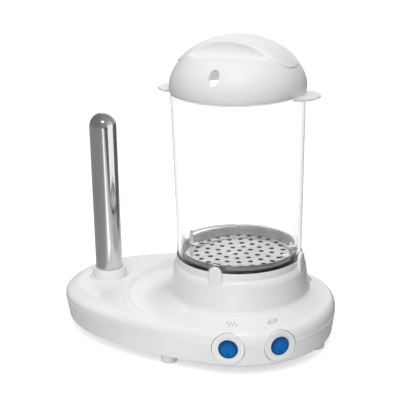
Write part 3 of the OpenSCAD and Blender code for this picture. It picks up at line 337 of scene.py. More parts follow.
class Finish(Nodes):
    """A node material: a shader, and noise textures on Object coordinates that drive its sockets."""

    def __init__(self, name):
        self.material = bpy.data.materials.new(name)
        super().__init__(self.material)
        self.shader = self.nodes["Principled BSDF"]
        self.place = self.nodes.new("ShaderNodeTexCoord").outputs["Object"]

    def set(self, **values):
        """Values on the shader's own sockets, named with _ for a space."""
        for key, value in values.items():
            self.feed(self.shader.inputs[key.replace("_", " ")], value)
        return self

    def noise(self, size_mm, detail=3.0, stretch=(1, 1, 1)):
        """Noise with features of about size_mm, longer along an axis whose stretch is over 1."""
        where = self.add("ShaderNodeMapping", {"Vector": self.place, "Scale": [1 / s for s in stretch]}, "Vector")
        return self.add("ShaderNodeTexNoise", {"Vector": where, "Scale": 1000.0 / size_mm, "Detail": detail}, "Fac")

    def wander(self, low, high, size_mm, **more):
        """A number that wanders between two others with the noise."""
        return self.span(self.noise(size_mm, **more), low, high, *NOISE_SPAN)

    def roughness(self, low, high, size_mm, **more):
        """Roughness that wanders between two values."""
        return self.set(Roughness=self.wander(low, high, size_mm, **more))

    def colour(self, first, second, size_mm, **more):
        """Base colour that wanders between two colours."""
        share = self.wander(0, 1, size_mm, **more)
        return self.set(Base_Color=self.mix_colour(share, (*first, 1), (*second, 1)))

    def tint(self, share, colour):
        """Another colour over a share of the base colour."""
        earlier = self.shader.inputs["Base Color"].links[0].from_socket
        return self.set(Base_Color=self.mix_colour(share, earlier, (*colour, 1)))

    def bump(self, depth_mm, size_mm, **more):
        """Fine relief of about depth_mm, on top of an earlier one."""
        values = {"Distance": depth_mm * MM, "Height": self.noise(size_mm, **more)}
        for link in self.shader.inputs["Normal"].links:
            values["Normal"] = link.from_socket
        return self.set(Normal=self.add("ShaderNodeBump", values, "Normal"))

    def let_light_in(self):
        """Rays from lamps pass straight through, as they do in thin clear walls."""
        lamp_ray = self.add("ShaderNodeLightPath", {}, "Is Shadow Ray")
        through = self.add("ShaderNodeBsdfTransparent", {}, "BSDF")
        both = self.add("ShaderNodeMixShader", {0: lamp_ray, 1: self.shader.outputs["BSDF"], 2: through}, "Shader")
        self.feed(self.nodes["Material Output"].inputs["Surface"], both)
        return self


def plain(name, first, second, patch_mm, rough, rough_mm, relief, detail=3.0, metal=0.0, specular=0.5):
    """A finish of two near colours in soft patches, with a roughness that varies and a fine relief (depth, size)."""
    f = Finish(name).set(Metallic=metal, Specular_IOR_Level=specular).colour(first, second, patch_mm)
    return f.roughness(*rough, rough_mm).bump(*relief, detail=detail).material


def moulded(name, first, second, rough):
    """Plain moulded plastic or ceramic of two near colours."""
    return plain(name, first, second, 5, (rough, rough + 0.15), 1.2, (0.012, 0.6))


def white_gloss(name, low, high):
    """Glossy moulded white plastic: faint orange peel, and a roughness that varies a little."""
    f = Finish(name).set(IOR=1.5)
    f.colour((0.86, 0.862, 0.865), (0.885, 0.885, 0.883), 70, detail=2)
    return f.roughness(low, high, 9, detail=4).bump(0.004, 5.0, detail=2).bump(0.0008, 0.5).material


def polished_steel():
    """Bright drawn steel: almost a mirror, with fine marks along Z."""
    f = Finish("polished_steel").set(Metallic=1.0)
    f.colour((0.71, 0.715, 0.725), (0.77, 0.775, 0.78), 25, stretch=(1, 1, 4))
    return f.roughness(0.045, 0.12, 1.2, stretch=(1, 1, 14)).bump(0.0008, 0.4, stretch=(1, 1, 30)).material


def bowl_steel():
    """Pressed steel of the bowl and tray: a mirror with faint waves and water marks, with a painted dark
    reflection on the outer wall, beyond a distance from the tank axis."""
    f = Finish("pressed_steel").set(Metallic=1.0)
    from_axis = f.vector("SUBTRACT", f.place, (TANK_X * MM, 0, 0), "Vector")
    in_plan = f.vector("MULTIPLY", from_axis, (1, 1, 0), "Vector")
    dark_reflection = f.span(f.vector("LENGTH", in_plan, (0, 0, 0), "Value"), 0, 1, DARK_REFLECTION_R * MM, FULL_DARK_REFLECTION_R * MM)
    # The base colour goes dark beyond a radius from the tank axis: a painted reflection of dark surroundings
    f.colour((0.56, 0.565, 0.575), (0.68, 0.685, 0.69), 14).tint(dark_reflection, (0.15, 0.158, 0.17))
    return f.roughness(0.07, 0.2, 7, detail=5).bump(0.01, 9.0, detail=2).material


def blue_clear():
    """Tinted clear plastic of the rockers, with a soft inner glow of the tint, and painted shade that deepens the tint
    where the mesh's own "edge" value grows towards the rim."""
    f = Finish("blue_clear_plastic").set(IOR=1.49, Specular_IOR_Level=0.12, Subsurface_Weight=0.2)
    f.set(Subsurface_Radius=(0.002, 0.004, 0.008), Subsurface_Scale=0.4)
    edge = f.nodes.new("ShaderNodeAttribute")
    edge.attribute_name = "edge"
    # Painted shade: the tint goes deep blue towards the rim by the "edge" value
    f.colour((0.0, 0.14, 0.46), (0.0, 0.21, 0.60), 6).tint(edge.outputs["Fac"], (0.0, 0.03, 0.2))
    return f.roughness(0.1, 0.16, 2).bump(0.004, 1.5).material


def clear_plastic():
    """Clear moulded plastic: slightly wavy walls."""
    f = Finish("clear_plastic").set(IOR=1.35, Transmission_Weight=1.0)
    f.set(Base_Color=(0.985, 0.99, 0.99, 1), Roughness=0.0)
    return f.bump(0.006, 14.0, detail=1).let_light_in().material


def frosted_plastic():
    """Clear plastic with a matt face, as on the ears."""
    f = Finish("frosted_plastic").set(IOR=1.45, Transmission_Weight=0.45)
    f.colour((0.86, 0.87, 0.875), (0.90, 0.905, 0.91), 12)
    return f.roughness(0.3, 0.42, 4).bump(0.01, 1.2).let_light_in().material


def lamp_glass():
    """Amber glass of the switch lamps."""
    f = Finish("lamp_glass").set(IOR=1.5, Transmission_Weight=0.85, Roughness=0.03)
    f.colour((0.95, 0.60, 0.36), (0.95, 0.52, 0.28), 2)
    return f.bump(0.004, 1.0).let_light_in().material


WHITE = white_gloss("white_gloss_plastic", 0.04, 0.07)
LID_WHITE = white_gloss("white_soft_gloss_plastic", 0.3, 0.36)
STEEL, PRESSED, BLUE = polished_steel(), bowl_steel(), blue_clear()
CLEAR, FROSTED = clear_plastic(), frosted_plastic()
RUBBER = plain("pale_rubber", (0.82, 0.82, 0.815), (0.87, 0.87, 0.865), 6, (0.55, 0.75), 1.5, (0.02, 0.6),
               specular=0.35)
PRINT = plain("grey_print", (0.36, 0.365, 0.37), (0.44, 0.445, 0.45), 1.5, (0.3, 0.4), 0.8, (0.002, 0.3))
MARK = plain("deep_marks", (0.0, 0.03, 0.17), (0.0, 0.045, 0.22), 1.5, (0.25, 0.35), 0.8, (0.002, 0.3), specular=0.3)
SLOT_FINISH = {
    "white_gloss": WHITE, "polished_steel": STEEL, "blue_clear": BLUE, "clear": CLEAR, "foot_rubber": RUBBER,
    "lamp_glass": lamp_glass(),
    "white_matte": plain("white_satin_plastic", (0.79, 0.79, 0.785), (0.83, 0.83, 0.83), 30, (0.38, 0.5), 2,
                         (0.008, 0.7)),
    "seal_rubber": plain("dark_silicone", (0.045, 0.045, 0.047), (0.07, 0.07, 0.072), 4, (0.5, 0.65), 1.2,
                         (0.015, 0.5)),
    "zinc": plain("zinc_plated_steel", (0.60, 0.61, 0.62), (0.70, 0.705, 0.70), 5, (0.25, 0.42), 1.0, (0.006, 0.6),
                  metal=1.0),
    "element_steel": plain("dull_steel_sheath", (0.30, 0.29, 0.28), (0.46, 0.45, 0.44), 8, (0.4, 0.6), 1.5,
                           (0.01, 0.8), metal=1.0),
    "aluminium": plain("cast_aluminium", (0.68, 0.69, 0.70), (0.78, 0.785, 0.79), 4, (0.35, 0.55), 0.9, (0.03, 1.0),
                       detail=5, metal=1.0),
    "brass": plain("yellow_brass", (0.70, 0.50, 0.20), (0.80, 0.61, 0.29), 3, (0.22, 0.38), 0.8, (0.004, 0.5),
                   metal=1.0),
    "black_plastic": moulded("black_phenolic", (0.012, 0.012, 0.013), (0.028, 0.028, 0.03), 0.35),
    "sleeve": moulded("pale_nylon", (0.74, 0.70, 0.58), (0.80, 0.77, 0.67), 0.45),
    "insulator": moulded("raw_ceramic", (0.78, 0.74, 0.66), (0.85, 0.82, 0.75), 0.7),
    "lead_cover": moulded("lead_cover", (0.40, 0.13, 0.08), (0.48, 0.18, 0.12), 0.45),
}
for part in frame["record"]["subparts"]:
    finish = PRESSED if part["node"] in ("heating_bowl", "tray") else SLOT_FINISH[part["material_slot"]]
    node = frame["nodes"][part["node"]]
    if not node.material_slots:
        node.data.materials.append(finish)
    for material_slot in node.material_slots:
        material_slot.material = finish


# Housings


def outline(t, d):
    """Plan of the base drawn in by d: x = tank + a C, y = b S. Round the tank, C and S are the cosine and sine
    of t and a is b; on the nose a is its length, and both are raised to a power that makes it blunter."""
    c, s = np.cos(t), np.sin(t)
    nose = c < -1e-9
    power = np.where(nose, 2 / NOSE_POWER, 1.0)
    a = np.where(nose, NOSE_LEN, BODY_R) - d
    return TANK_X + a * np.sign(c) * np.abs(c) ** power, (BODY_R - d) * np.sign(s) * np.abs(s) ** power


def shoulder_width(t):
    """Width of the rounded shoulder: widest along the front of the nose."""
    return SHOULDER + NOSE_SHOULDER * soft(-np.cos(t)) * soft((1 - np.sin(t)) / 2)


def top_height(x, y):
    """Height of the top: a dish that falls with the square of the way from the collar and ends in a crease that
    is an ellipse, a step 1 - (1 - u)^2 from there up to the gently falling nose, which is narrow at the front and
    wide at the rear, and a flat seat round the spike."""
    r = np.hypot(x - TANK_X, y)
    dish = DISH_Z + (COLLAR_Z - DISH_Z) * (np.maximum(0, DISH_R - r) / (DISH_R - COLLAR_R)) ** 2
    nose = NOSE_Z - NOSE_FALL * (r - DISH_R) / (SPIKE_REACH - DISH_R) + NOSE_LEAN * y / BODY_R
    beyond = r * (1 - 1 / np.maximum(np.hypot((x - TANK_X) / DISH_LEN, y / DISH_HALF), 0.2))
    width = STEP_FRONT + (STEP_REAR - STEP_FRONT) * soft((y - STEP_TURN_Y) / STEP_TURN)
    step = (1 - (1 - np.clip(beyond / width, 0, 1)) ** 2) * soft((TANK_X - x) / STEP_FADE)
    z = dish * (1 - step) + nose * step
    pad = soft((np.hypot(x - SPIKE_X, y) - PAD_R) / PAD_BLEND)
    return SEAT_Z + (z - SEAT_Z) * pad


def outline_turns(round_steps, nose_steps):
    """Angles along the outline: half a turn round the tank and half a turn round the nose."""
    return np.concatenate([
        np.linspace(-np.pi / 2, np.pi / 2, round_steps, endpoint=False),
        np.linspace(np.pi / 2, 1.5 * np.pi, nose_steps, endpoint=False),
    ])


def collar_in(z):
    """Inner radius of the collar's wall at a height."""
    return COLLAR_R - COLLAR_WALL - (COLLAR_R - COLLAR_TOP_R) * (z - COLLAR_Z) / (RIM_Z - RIM_ROUND - COLLAR_Z)


def upper_shell():
    """Upper housing as rings along the outline: a broken lower edge, the wall, a shoulder that is a quarter
    ellipse, the top, a curved foot of the collar, the collar with its round shoulder, thin lip and inner ledge,
    and back along the inside, a wall's thickness below."""
    t = outline_turns(160, 240)

    def flat(d, z):
        return coords(*outline(t, d), z)

    def shoulder(a, depth):
        w = shoulder_width(t)
        edge = top_height(*outline(t, w))
        x, y = outline(t, w * (1 - math.cos(a)) + depth * math.cos(a))
        return coords(x, y, WALL_TOP + (edge - WALL_TOP) * math.sin(a) - depth * math.sin(a))

    def top(s, depth):
        ex, ey = outline(t, shoulder_width(t))
        cx, cy = TANK_X + FILLET_R * np.cos(t), FILLET_R * np.sin(t)
        x, y = cx + s * (ex - cx), cy + s * (ey - cy)
        return coords(x, y, top_height(x, y) - depth)

    def hoop(r, z):
        return coords(TANK_X + r * np.cos(t), r * np.sin(t), z)

    start = np.array([FILLET_R, top_height(TANK_X + FILLET_R, 0)])
    slope = 2 * (COLLAR_Z - DISH_Z) * (DISH_R - FILLET_R) / (DISH_R - COLLAR_R) ** 2
    lean = (COLLAR_R - COLLAR_TOP_R) / (RIM_Z - RIM_ROUND - COLLAR_Z)
    end = np.array([COLLAR_R - lean * (FILLET_TOP - COLLAR_Z), FILLET_TOP])
    reach = FILLET_PULL * (start[0] - end[0])
    first, second = start + reach * np.array([-1, slope]), end + reach * np.array([lean, -1])
    u = np.linspace(0, 1, 12)[1:, None]
    foot = (1 - u) ** 3 * start + 3 * u * (1 - u) ** 2 * first + 3 * u * u * (1 - u) * second + u ** 3 * end

    edge_turns = np.linspace(0, np.pi / 2, 5)
    lip = RIM_IN_R + LIP_T
    drum_r = COLLAR_R - lean * (DRUM_Z - COLLAR_Z) - DRUM_MID
    rim_turns = np.linspace(0, math.acos((lip - DRUM_MID) / drum_r), 14)
    rim = coords(DRUM_MID + drum_r * np.cos(rim_turns), DRUM_Z + DRUM_ROUND * np.sin(rim_turns))
    rim = [*rim, (lip, RIM_Z - LIP_H), (lip, RIM_Z - RIM_EDGE), (lip - RIM_EDGE / 2, RIM_Z)]
    wall_z = np.linspace(FILLET_TOP, DRUM_Z, 7)[1:-1]
    wall_r = COLLAR_R - lean * (wall_z - COLLAR_Z)
    ledge_low = LEDGE_Z - LEDGE_T
    inside = [(RIM_IN_R + RIM_EDGE / 2, RIM_Z - RIM_EDGE / 2), (RIM_IN_R, RIM_Z - LIP_T),
              (RIM_IN_R, LEDGE_Z + RIM_EDGE), (RIM_IN_R - RIM_EDGE, LEDGE_Z), (LEDGE_IN_R, LEDGE_Z),
              (LEDGE_IN_R, ledge_low), (collar_in(ledge_low), ledge_low), (collar_in(COLLAR_Z), COLLAR_Z - 2)]
    rows = [flat(PART_EDGE * (1 - math.sin(a)), PART_Z + PART_EDGE * (1 - math.cos(a))) for a in edge_turns]
    rows += [flat(0, z) for z in (PART_Z + 2, WALL_TOP - 1)]
    rows += [shoulder(a, 0) for a in np.linspace(0, np.pi / 2, 28)]
    rows += [top(s, 0) for s in np.linspace(1, 0, 131)[1:]]
    rows += [hoop(r, z) for r, z in (*foot, *zip(wall_r, wall_z), *rim, *inside)]
    rows += [top(s, WALL) for s in np.linspace(0, 1, 14)]
    rows += [shoulder(a, WALL) for a in np.radians([60, 30, 0])]
    rows += [flat(WALL, PART_Z)]
    return grid(np.array(rows), wrap_u=True)


def lower_shell():
    """Lower housing as rings along the outline, from the middle of the underside out, up the drawn-in wall to
    the parting line and back inside; the middle rings close on the long axis."""
    t = outline_turns(180, 200)
    corner = np.linspace(np.pi / 2, 0, 9)
    edge = np.linspace(np.pi / 2, 0, 5)
    rings = (12, 25, 50, 80, BODY_R)
    low = [(d, FLOOR_Z) for d in rings[::-1]]
    low += [(LOWER_TAPER + LOWER_EDGE * (1 - math.cos(a)), FLOOR_Z + LOWER_EDGE * (1 - math.sin(a))) for a in corner]
    lean, rise = LOWER_TAPER - LOWER_INSET, PART_Z - FLOOR_Z - LOWER_EDGE
    low += [(LOWER_INSET + lean * (1 - s), FLOOR_Z + LOWER_EDGE + s * rise) for s in np.linspace(0, 1, 14)[1:-1]]
    low += [(LOWER_INSET + LOWER_LIP * (1 - math.sin(a)), PART_Z - LOWER_LIP * (1 - math.cos(a))) for a in edge]
    low += [(WALL, PART_Z), (WALL + LOWER_TAPER, FLOOR_Z + LOWER_EDGE), (LOWER_TAPER + LOWER_EDGE, FLOOR_Z + WALL)]
    low += [(d, FLOOR_Z + WALL) for d in rings[1:]]
    return grid(np.array([coords(*outline(t, d), z) for d, z in low]))


def lug():
    """One lug of the rim, facing -Y: a plate with a round top and soft edges, bent round the tank axis. Rows run
    from the middle of the outer face over the edge to the middle of the inner face."""
    half, mid = LUG_W / 2, RIM_Z + LUG_H - LUG_W / 2
    a = np.linspace(0, np.pi, 33)
    side = np.linspace(mid, LUG_FOOT, 8)[1:]
    base = np.linspace(-half, half, 13)[1:-1]
    front = np.concatenate([coords(half * np.cos(a), mid + half * np.sin(a)), coords(-half, side),
                            coords(base, LUG_FOOT), coords(half, side[::-1])])
    turns = np.linspace(0, np.pi / 2, 7)
    fall, rise = LUG_EDGE * (1 - np.sin(turns)), LUG_EDGE * (1 - np.cos(turns))
    inset = np.concatenate([[half, half / 2], fall, rise, [half / 2, half]])
    depth = np.concatenate([[LUG_T, LUG_T], LUG_T - rise, fall, [0, 0]])
    centre = np.array([0, mid])
    share = (1 - inset / half)[:, None, None]
    points = centre + share * (front - centre)
    turn, radius = points[..., 0] / (LUG_R + LUG_T / 2), LUG_R + depth[:, None]
    return grid(coords(radius * np.sin(turn), -radius * np.cos(turn), points[..., 1]))


def switch_frame(side):
    """Matrix and origin of a switch: its own X runs along the face, Y runs inwards and Z is up."""
    m = turn_z(SWITCH_TURNS[side])
    return m, np.array([TANK_X, 0, SWITCH_Z]) + m @ np.array([0, -HOLDER_FACE, 0])


INWARDS = np.array([[1, 0, 0], [0, 0, 1], [0, -1, 0]])


def at_switch(side, shape):
    """A shape revolved about its Z, set into a switch with Z running inwards."""
    m, origin = switch_frame(side)
    return moved(shape, m @ INWARDS, origin)


def rod(r, low, high, steps=96):
    """A closed cylinder about Z."""
    return revolved([(0, low), (r, low), (r, high), (0, high)], steps, wrap=False)


def holder_holes():
    """A cutter for the round seats of both switch dishes."""
    seat = rod(HOLDER_R + HOLDER_GAP, -8, HOLDER_DEPTH + HOLDER_GAP)
    return merge(*[at_switch(side, seat) for side in SWITCH_TURNS])


def on_outline(shape, turns, inset):
    """A shape repeated at angles along the outline, inset from it."""
    return merge(*[moved(shape, shift=(x, y, 0)) for x, y in zip(*outline(turns, inset))])


upper = carve(make_mesh("upper", upper_shell()), holder_holes())
place("moulded_top", upper, WHITE, "base", ("upper_housing",))

gland_hole = moved(rod(GLAND_POCKET_R, 0, 12), INWARDS.T, (CORD_X, GLAND_SEAT, GLAND_Z))
neck_hole = moved(rod(GLAND_NECK_R, -8, 1), INWARDS.T, (CORD_X, GLAND_SEAT, GLAND_Z))
head_holes = on_outline(rod(HEAD_HOLE_R, FLOOR_Z - 2, FLOOR_Z + WALL + 1, 48), POST_TURNS, POST_INSET)
lower = make_mesh("lower", lower_shell())
for holes in (merge(holder_holes(), head_holes), gland_hole, neck_hole):
    lower = carve(lower, holes)
place("moulded_bottom", lower, WHITE, "base", ("lower_housing",))

post = revolved(rounded([(HEAD_HOLE_R, FLOOR_Z + 0.4), (POST_R, FLOOR_Z + 0.8), (POST_R, POST_TOP),
                         (SCREW_HOLE_R, POST_TOP), (SCREW_HOLE_R, POST_SEAT), (HEAD_HOLE_R, POST_SEAT)], 0.3, 4), 48)
place("screw_posts", on_outline(post, POST_TURNS, POST_INSET), WHITE, "base")

place("rim_lugs", on_tank(lug(), QUARTERS), WHITE, "base")

foot = revolved(rounded([(0, 0), (FOOT_R, 0), (FOOT_R, FLOOR_Z), (FOOT_PLUG_R, FLOOR_Z), (FOOT_PLUG_R, FOOT_PLUG_TOP),
                         (0, FOOT_PLUG_TOP)], [0, 2, 0.3, 0, 0.5, 0], 8), 64, wrap=False)
place("rubber_feet", on_outline(foot, FOOT_TURNS, FOOT_INSET), RUBBER, "base", ("feet",))

# Printed signs above the switches


def on_dish(side, along, out):
    """Points on the dish above a switch: along runs round the tank and out runs away from it, both in mm from the
    middle of the sign; the height follows the dish, a hair above it."""
    r = SIGN_R + out
    turn = SWITCH_TURNS[side] + (along + SIGN_SHIFT[side]) / SIGN_R
    x, y = TANK_X + r * np.sin(turn), -r * np.cos(turn)
    return coords(x, y, top_height(x, y) + SIGN_LIFT)


def heat_sign():
    """Three slanted waves: along = middle + slant s + sway sin(3 pi s), as s runs from -0.5 to 0.5 and out is s times
    the length."""
    s = np.linspace(-0.5, 0.5, 41)
    wave = WAVE_SLANT * s + WAVE_SWAY * np.sin(3 * np.pi * s)
    lines = [on_dish("left", k * WAVE_GAP + wave, WAVE_LEN * s) for k in (-1, 0, 1)]
    return merge(*[tube(line, (0, 0, 1), SIGN_T, SIGN_LINE["left"], 8) for line in lines])


def roll_sign():
    """A filled roll: a wide oval crossed along its length by a thin one, both slanted."""
    v = np.linspace(0, TURN, 81)
    c, s = ROLL_SLANT
    shapes = []
    for length, width in ROLL_SIZES:
        u, w = length * np.cos(v), width * np.sin(v)
        shapes.append(tube(on_dish("right", c * u + s * w, c * w - s * u), (0, 0, 1), SIGN_T, SIGN_LINE["right"], 8))
    return merge(*shapes)


place("heat_sign", heat_sign(), PRINT, "base")
place("roll_sign", roll_sign(), PRINT, "base")

# Spike


def spike_profile():
    """Tube with a flange at its foot and a round tip: outer line up, inner line down."""
    a = np.linspace(0, np.pi / 2, 25)
    tip, bore = SPIKE_TOP - SPIKE_R, SPIKE_R - SPIKE_WALL
    foot_line = [(bore, RETAINER_Z), (SPIKE_R, RETAINER_Z), (SPIKE_R, SPIKE_FOOT - FLANGE_T),
                 (FLANGE_R, SPIKE_FOOT - FLANGE_T), (FLANGE_R, SPIKE_FOOT), (SPIKE_R, SPIKE_FOOT)]
    outer = coords(SPIKE_R * np.cos(a), tip + SPIKE_R * np.sin(a))
    inner = coords(bore * np.cos(a), tip + bore * np.sin(a))[::-1]
    return np.concatenate([foot_line, outer, inner])


spike = moved(revolved(spike_profile(), 192), shift=(SPIKE_X, 0, 0))
place("polished_spike", spike, STEEL, "base", ("spike_tube",))

ring_line = rounded([(RING_IN_R, SPIKE_FOOT), (NECK_R, SPIKE_FOOT), (NECK_R, SEAT_Z), (RING_R, SEAT_Z),
                     (RING_R - 0.4, SEAT_Z + RING_H), (RING_IN_R, SEAT_Z + RING_H)], [0, 0, 0, 0.3, 1.3, 0.5], 8)
ring = moved(revolved(ring_line, 160), shift=(SPIKE_X, 0, 0))
place("spike_foot_ring", ring, WHITE, "base", ("spike_ring",))

# Switches


def rocker_shape():
    """A rocker about its hinge, in the switch's own frame: the front falls from both ends to a valley,
    y = -(face + |z| tan a), and the rim is a ball of the rocker's radius round the hinge."""
    v = np.linspace(0, TURN, 96, endpoint=False)
    slope = np.abs(np.sin(v)) * math.tan(ROCKER_HALF_THROW)
    a, b, c = 1 + slope ** 2, 2 * ROCKER_FACE * slope, ROCKER_FACE ** 2 - (ROCKER_R - ROCKER_FIT) ** 2
    edge = (-b + np.sqrt(b * b - 4 * a * c)) / (2 * a)
    share = np.concatenate([np.linspace(0, 0.9, 16), [0.94, 0.97]])[:, None]
    z = share * edge * np.sin(v)
    valley = np.hypot(z, ROCKER_VALLEY) - ROCKER_VALLEY
    front = coords(share * edge * np.cos(v), -(ROCKER_FACE + valley * math.tan(ROCKER_HALF_THROW)), z)
    y_edge = ROCKER_EDGE - ROCKER_FACE - slope * edge
    y_side = y_edge + (ROCKER_BACK - y_edge) * np.linspace(0, 1, 14)[:, None]
    r_side = np.sqrt(ROCKER_R ** 2 - y_side ** 2)
    sides = coords(r_side * np.cos(v), y_side, r_side * np.sin(v))
    back = coords(0 * v, ROCKER_BACK, 0)[None]
    return grid(np.concatenate([front, sides, back]))


def mark_rim_shade(mesh, m, origin):
    """Gives each point of a rocker an "edge" value, the share of painted shade at its rim: (r / R)^4 by its
    distance r from the switch's axis.
    """
    points = np.empty(3 * len(mesh.vertices), np.float32)
    mesh.vertices.foreach_get("co", points)
    own = (points.reshape(-1, 3) / MM - origin) @ m
    share = np.clip(np.hypot(own[:, 0], own[:, 2]) / ROCKER_R, 0, 1) ** 4
    mesh.attributes.new("edge", "FLOAT", "POINT").data.foreach_set("value", share.astype(np.float32))


def tip(shape):
    """A shape about the hinge, tipped to its rest with the lower half pressed in."""
    return moved(shape, turn_x(ROCKER_HALF_THROW), (0, HINGE_IN, 0))


def face_line(x, z):
    """A raised line on a rocker's front, along points (x, z)."""
    y = -(ROCKER_FACE + np.abs(z) * math.tan(ROCKER_HALF_THROW)) - MARK_LIFT
    return tube(coords(x, y, z), (0, 1, 0), MARK_T, MARK_LINE, 10)


def rocker_marks():
    """The two generic signs: a ring on the lower half and a bar on the upper half."""
    half_x, half_z, middle = MARK_RING
    v = np.linspace(0, TURN, 41)
    bar = np.linspace(*MARK_BAR, 12)
    return merge(face_line(half_x * np.cos(v), middle + half_z * np.sin(v)), face_line(0 * bar, bar))


for side in SWITCH_TURNS:
    m, origin = switch_frame(side)
    bore_r, seat_r = SWITCH_R + SWITCH_FIT, BEZEL_R + BEZEL_FIT
    dish_line = rounded([(bore_r, DISH_DEPTH), (seat_r, DISH_DEPTH), (seat_r, 0), (HOLDER_R, 0),
                         (HOLDER_R, HOLDER_DEPTH), (bore_r, HOLDER_DEPTH)], [0, 0, 0.3, 0.5, 0, 0], 8)
    dish = at_switch(side, revolved(dish_line, 160))
    place(f"{side}_switch_ring", dish, WHITE, "base", (f"{side}_switch_dish",))
    cavity_r, cavity = ROCKER_R + ROCKER_GAP, SWITCH_END - SWITCH_BACK
    bezel_line = rounded([(cavity_r, -BEZEL_OUT), (BEZEL_R, -BEZEL_OUT), (BEZEL_R, DISH_DEPTH), (SWITCH_R, DISH_DEPTH),
                          (SWITCH_R, SWITCH_END), (0, SWITCH_END), (0, cavity), (cavity_r, cavity)],
                         [0.4, 0.15, 0, 0, 0, 0, 0, 0], 8)
    bezel = at_switch(side, revolved(bezel_line, 128))
    place(f"{side}_switch_bezel", bezel, WHITE, "base", (f"{side}_switch_body",))
    rocker = make_mesh(f"{side}_rocker_mesh", moved(tip(rocker_shape()), m, origin))
    # The "edge" value for the painted shade at the rocker's rim
    mark_rim_shade(rocker, m, origin)
    place(f"{side}_rocker_button", rocker, BLUE, f"{side}_rocker_body", (f"{side}_rocker",))
    marks = moved(tip(rocker_marks()), m, origin)
    place(f"{side}_rocker_marks", marks, MARK, f"{side}_rocker_body")

# Container


def tank_out(z):
    """Outer radius of the container at a height."""
    return TANK_LOW_R + (TANK_TOP_R - TANK_LOW_R) * (z - RIM_Z) / (TANK_TOP - RIM_Z)


def ear():
    """One ear, towards +X: between the tank's circle and an arc of its own, thinning to a round outer edge."""
    y = np.linspace(-EAR_R + EAR_TRIM, EAR_R - EAR_TRIM, 49)
    near = np.sqrt((TANK_TOP_R - EAR_SINK) ** 2 - y ** 2)
    far = EAR_REACH - EAR_R + np.sqrt(EAR_R ** 2 - y ** 2)
    flat = 1 - EAR_RIM
    u = np.concatenate([np.linspace(0, flat, 10), flat + EAR_RIM * np.sin(np.linspace(0, np.pi / 2, 8)[1:])])
    thick = EAR_T / 2 * np.sqrt(np.clip(1 - (np.clip(u - flat, 0, 1) / EAR_RIM) ** 2, 0, 1))
    loop_u, loop_t = np.concatenate([u, u[::-1]]), np.concatenate([thick, -thick[::-1]])
    ends = np.clip((EAR_R - np.abs(y)) / EAR_END, 0, 1)
    ends = np.sqrt(1 - (1 - ends) ** 2)[None, :]
    x = near + loop_u[:, None] * (far - near)
    z = TANK_TOP - EAR_T / 2 + loop_t[:, None] * ends
    return grid(coords(x, y, z), wrap_u=True, wrap_v=False)


def arch():
    """Raised clear edge that arches over the lug at -Y: a soft square bar along a half circle on the tank."""
    b = np.linspace(np.arcsin((ARCH_FOOT - ARCH_SPRING) / ARCH_HALF), np.pi - ARCH_TRIM, 41)
    s, z = ARCH_HALF * np.cos(b), ARCH_SPRING + ARCH_HALF * np.sin(b)
    radius = TANK_LOW_R + ARCH_OUT
    turn = s / radius
    path = coords(radius * np.sin(turn), -radius * np.cos(turn), z)
    outwards = coords(np.sin(turn), -np.cos(turn), 0)
    return tube(path, outwards, ARCH_BAR, ARCH_BAR, 16, power=0.7)


tank_z = np.array([TANK_FOOT, TANK_FOOT + 1, TANK_FOOT + 2, TANK_TOP - 2, TANK_TOP - 1, TANK_TOP])
tank_line = rounded([*zip(tank_out(tank_z), tank_z), *zip(tank_out(tank_z[::-1]) - TANK_WALL, tank_z[::-1])],
                    [0.7, 0, 0, 0, 0, 0.7] * 2, 7)
tank = merge(on_tank(revolved(tank_line, 256)), on_tank(arch(), QUARTERS))
place("clear_tank", tank, CLEAR, "tank", ("container",))
place("tank_ears", on_tank(ear(), (0, np.pi)), FROSTED, "tank")

# Lid


def smooth_min(a, b, k):
    """The lower of a and b, rounded where they are less than k apart."""
    h = np.clip(0.5 + 0.5 * (b - a) / k, 0, 1)
    return b * (1 - h) + a * h - k * h * (1 - h)


def dome_depth(x, y, z, inset):
    """Depth below the dome drawn in by inset: with s = (r/a)^p + (z/b)^p, which is 1 on the dome, it is (1 - s) / g,
    where g is the steepness of s."""
    a, b, p = LID_R - inset, DOME_H - inset, DOME_POWER
    r, h = np.hypot(x, y) / a, np.clip(z - LID_Z, 0, None) / b
    return (1 - r ** p - h ** p) / (p * np.hypot(r ** (p - 1) / a, h ** (p - 1) / b) + 1e-9)


def scoop_gap(x, y, z):
    """Distance from the two finger scoops: each is a round bar along X under the band, and all that lies above a flat
    floor from its middle outwards. By the square of x, the bar is thinner and its inner edge further out."""
    bend = np.clip(np.abs(x) / SCOOP_HALF, 0, 1) ** 2
    r = SCOOP_R - SCOOP_THIN * bend
    off = np.abs(y) - SCOOP_Y - (SCOOP_BOW - SCOOP_THIN) * bend
    middle = SCOOP_Z - SCOOP_THIN * bend
    return np.where(off < 0, np.hypot(off, z - middle), middle - z) - r


def band_share(y, z):
    """Share of the band's full height, from 1 on the band to 0 beside it: its sides are straight, and each corner of
    its two ends is a quarter of an ellipse."""
    aside = np.clip(1 + (np.abs(y) - BAND_HALF) / BAND_END[0], 0, None)
    below = np.clip(1 + (BAND_FOOT - z) / BAND_END[1], 0, None)
    return soft(BAND_EDGE * (1 - np.hypot(aside, below)) + 0.5)


def lid_outside(x, y, z):
    """Depth below the outside: the dome, a band across it that stands a little higher, and the scoops."""
    return smooth_min(dome_depth(x, y, z, 0) + BAND_RISE * band_share(y, z), scoop_gap(x, y, z), SCOOP_EDGE)


def lid_inside(x, y, z):
    """Depth below the inside: the dome and the scoops, a wall's thickness in."""
    return smooth_min(dome_depth(x, y, z, LID_WALL), scoop_gap(x, y, z) - LID_WALL, SCOOP_EDGE_IN)


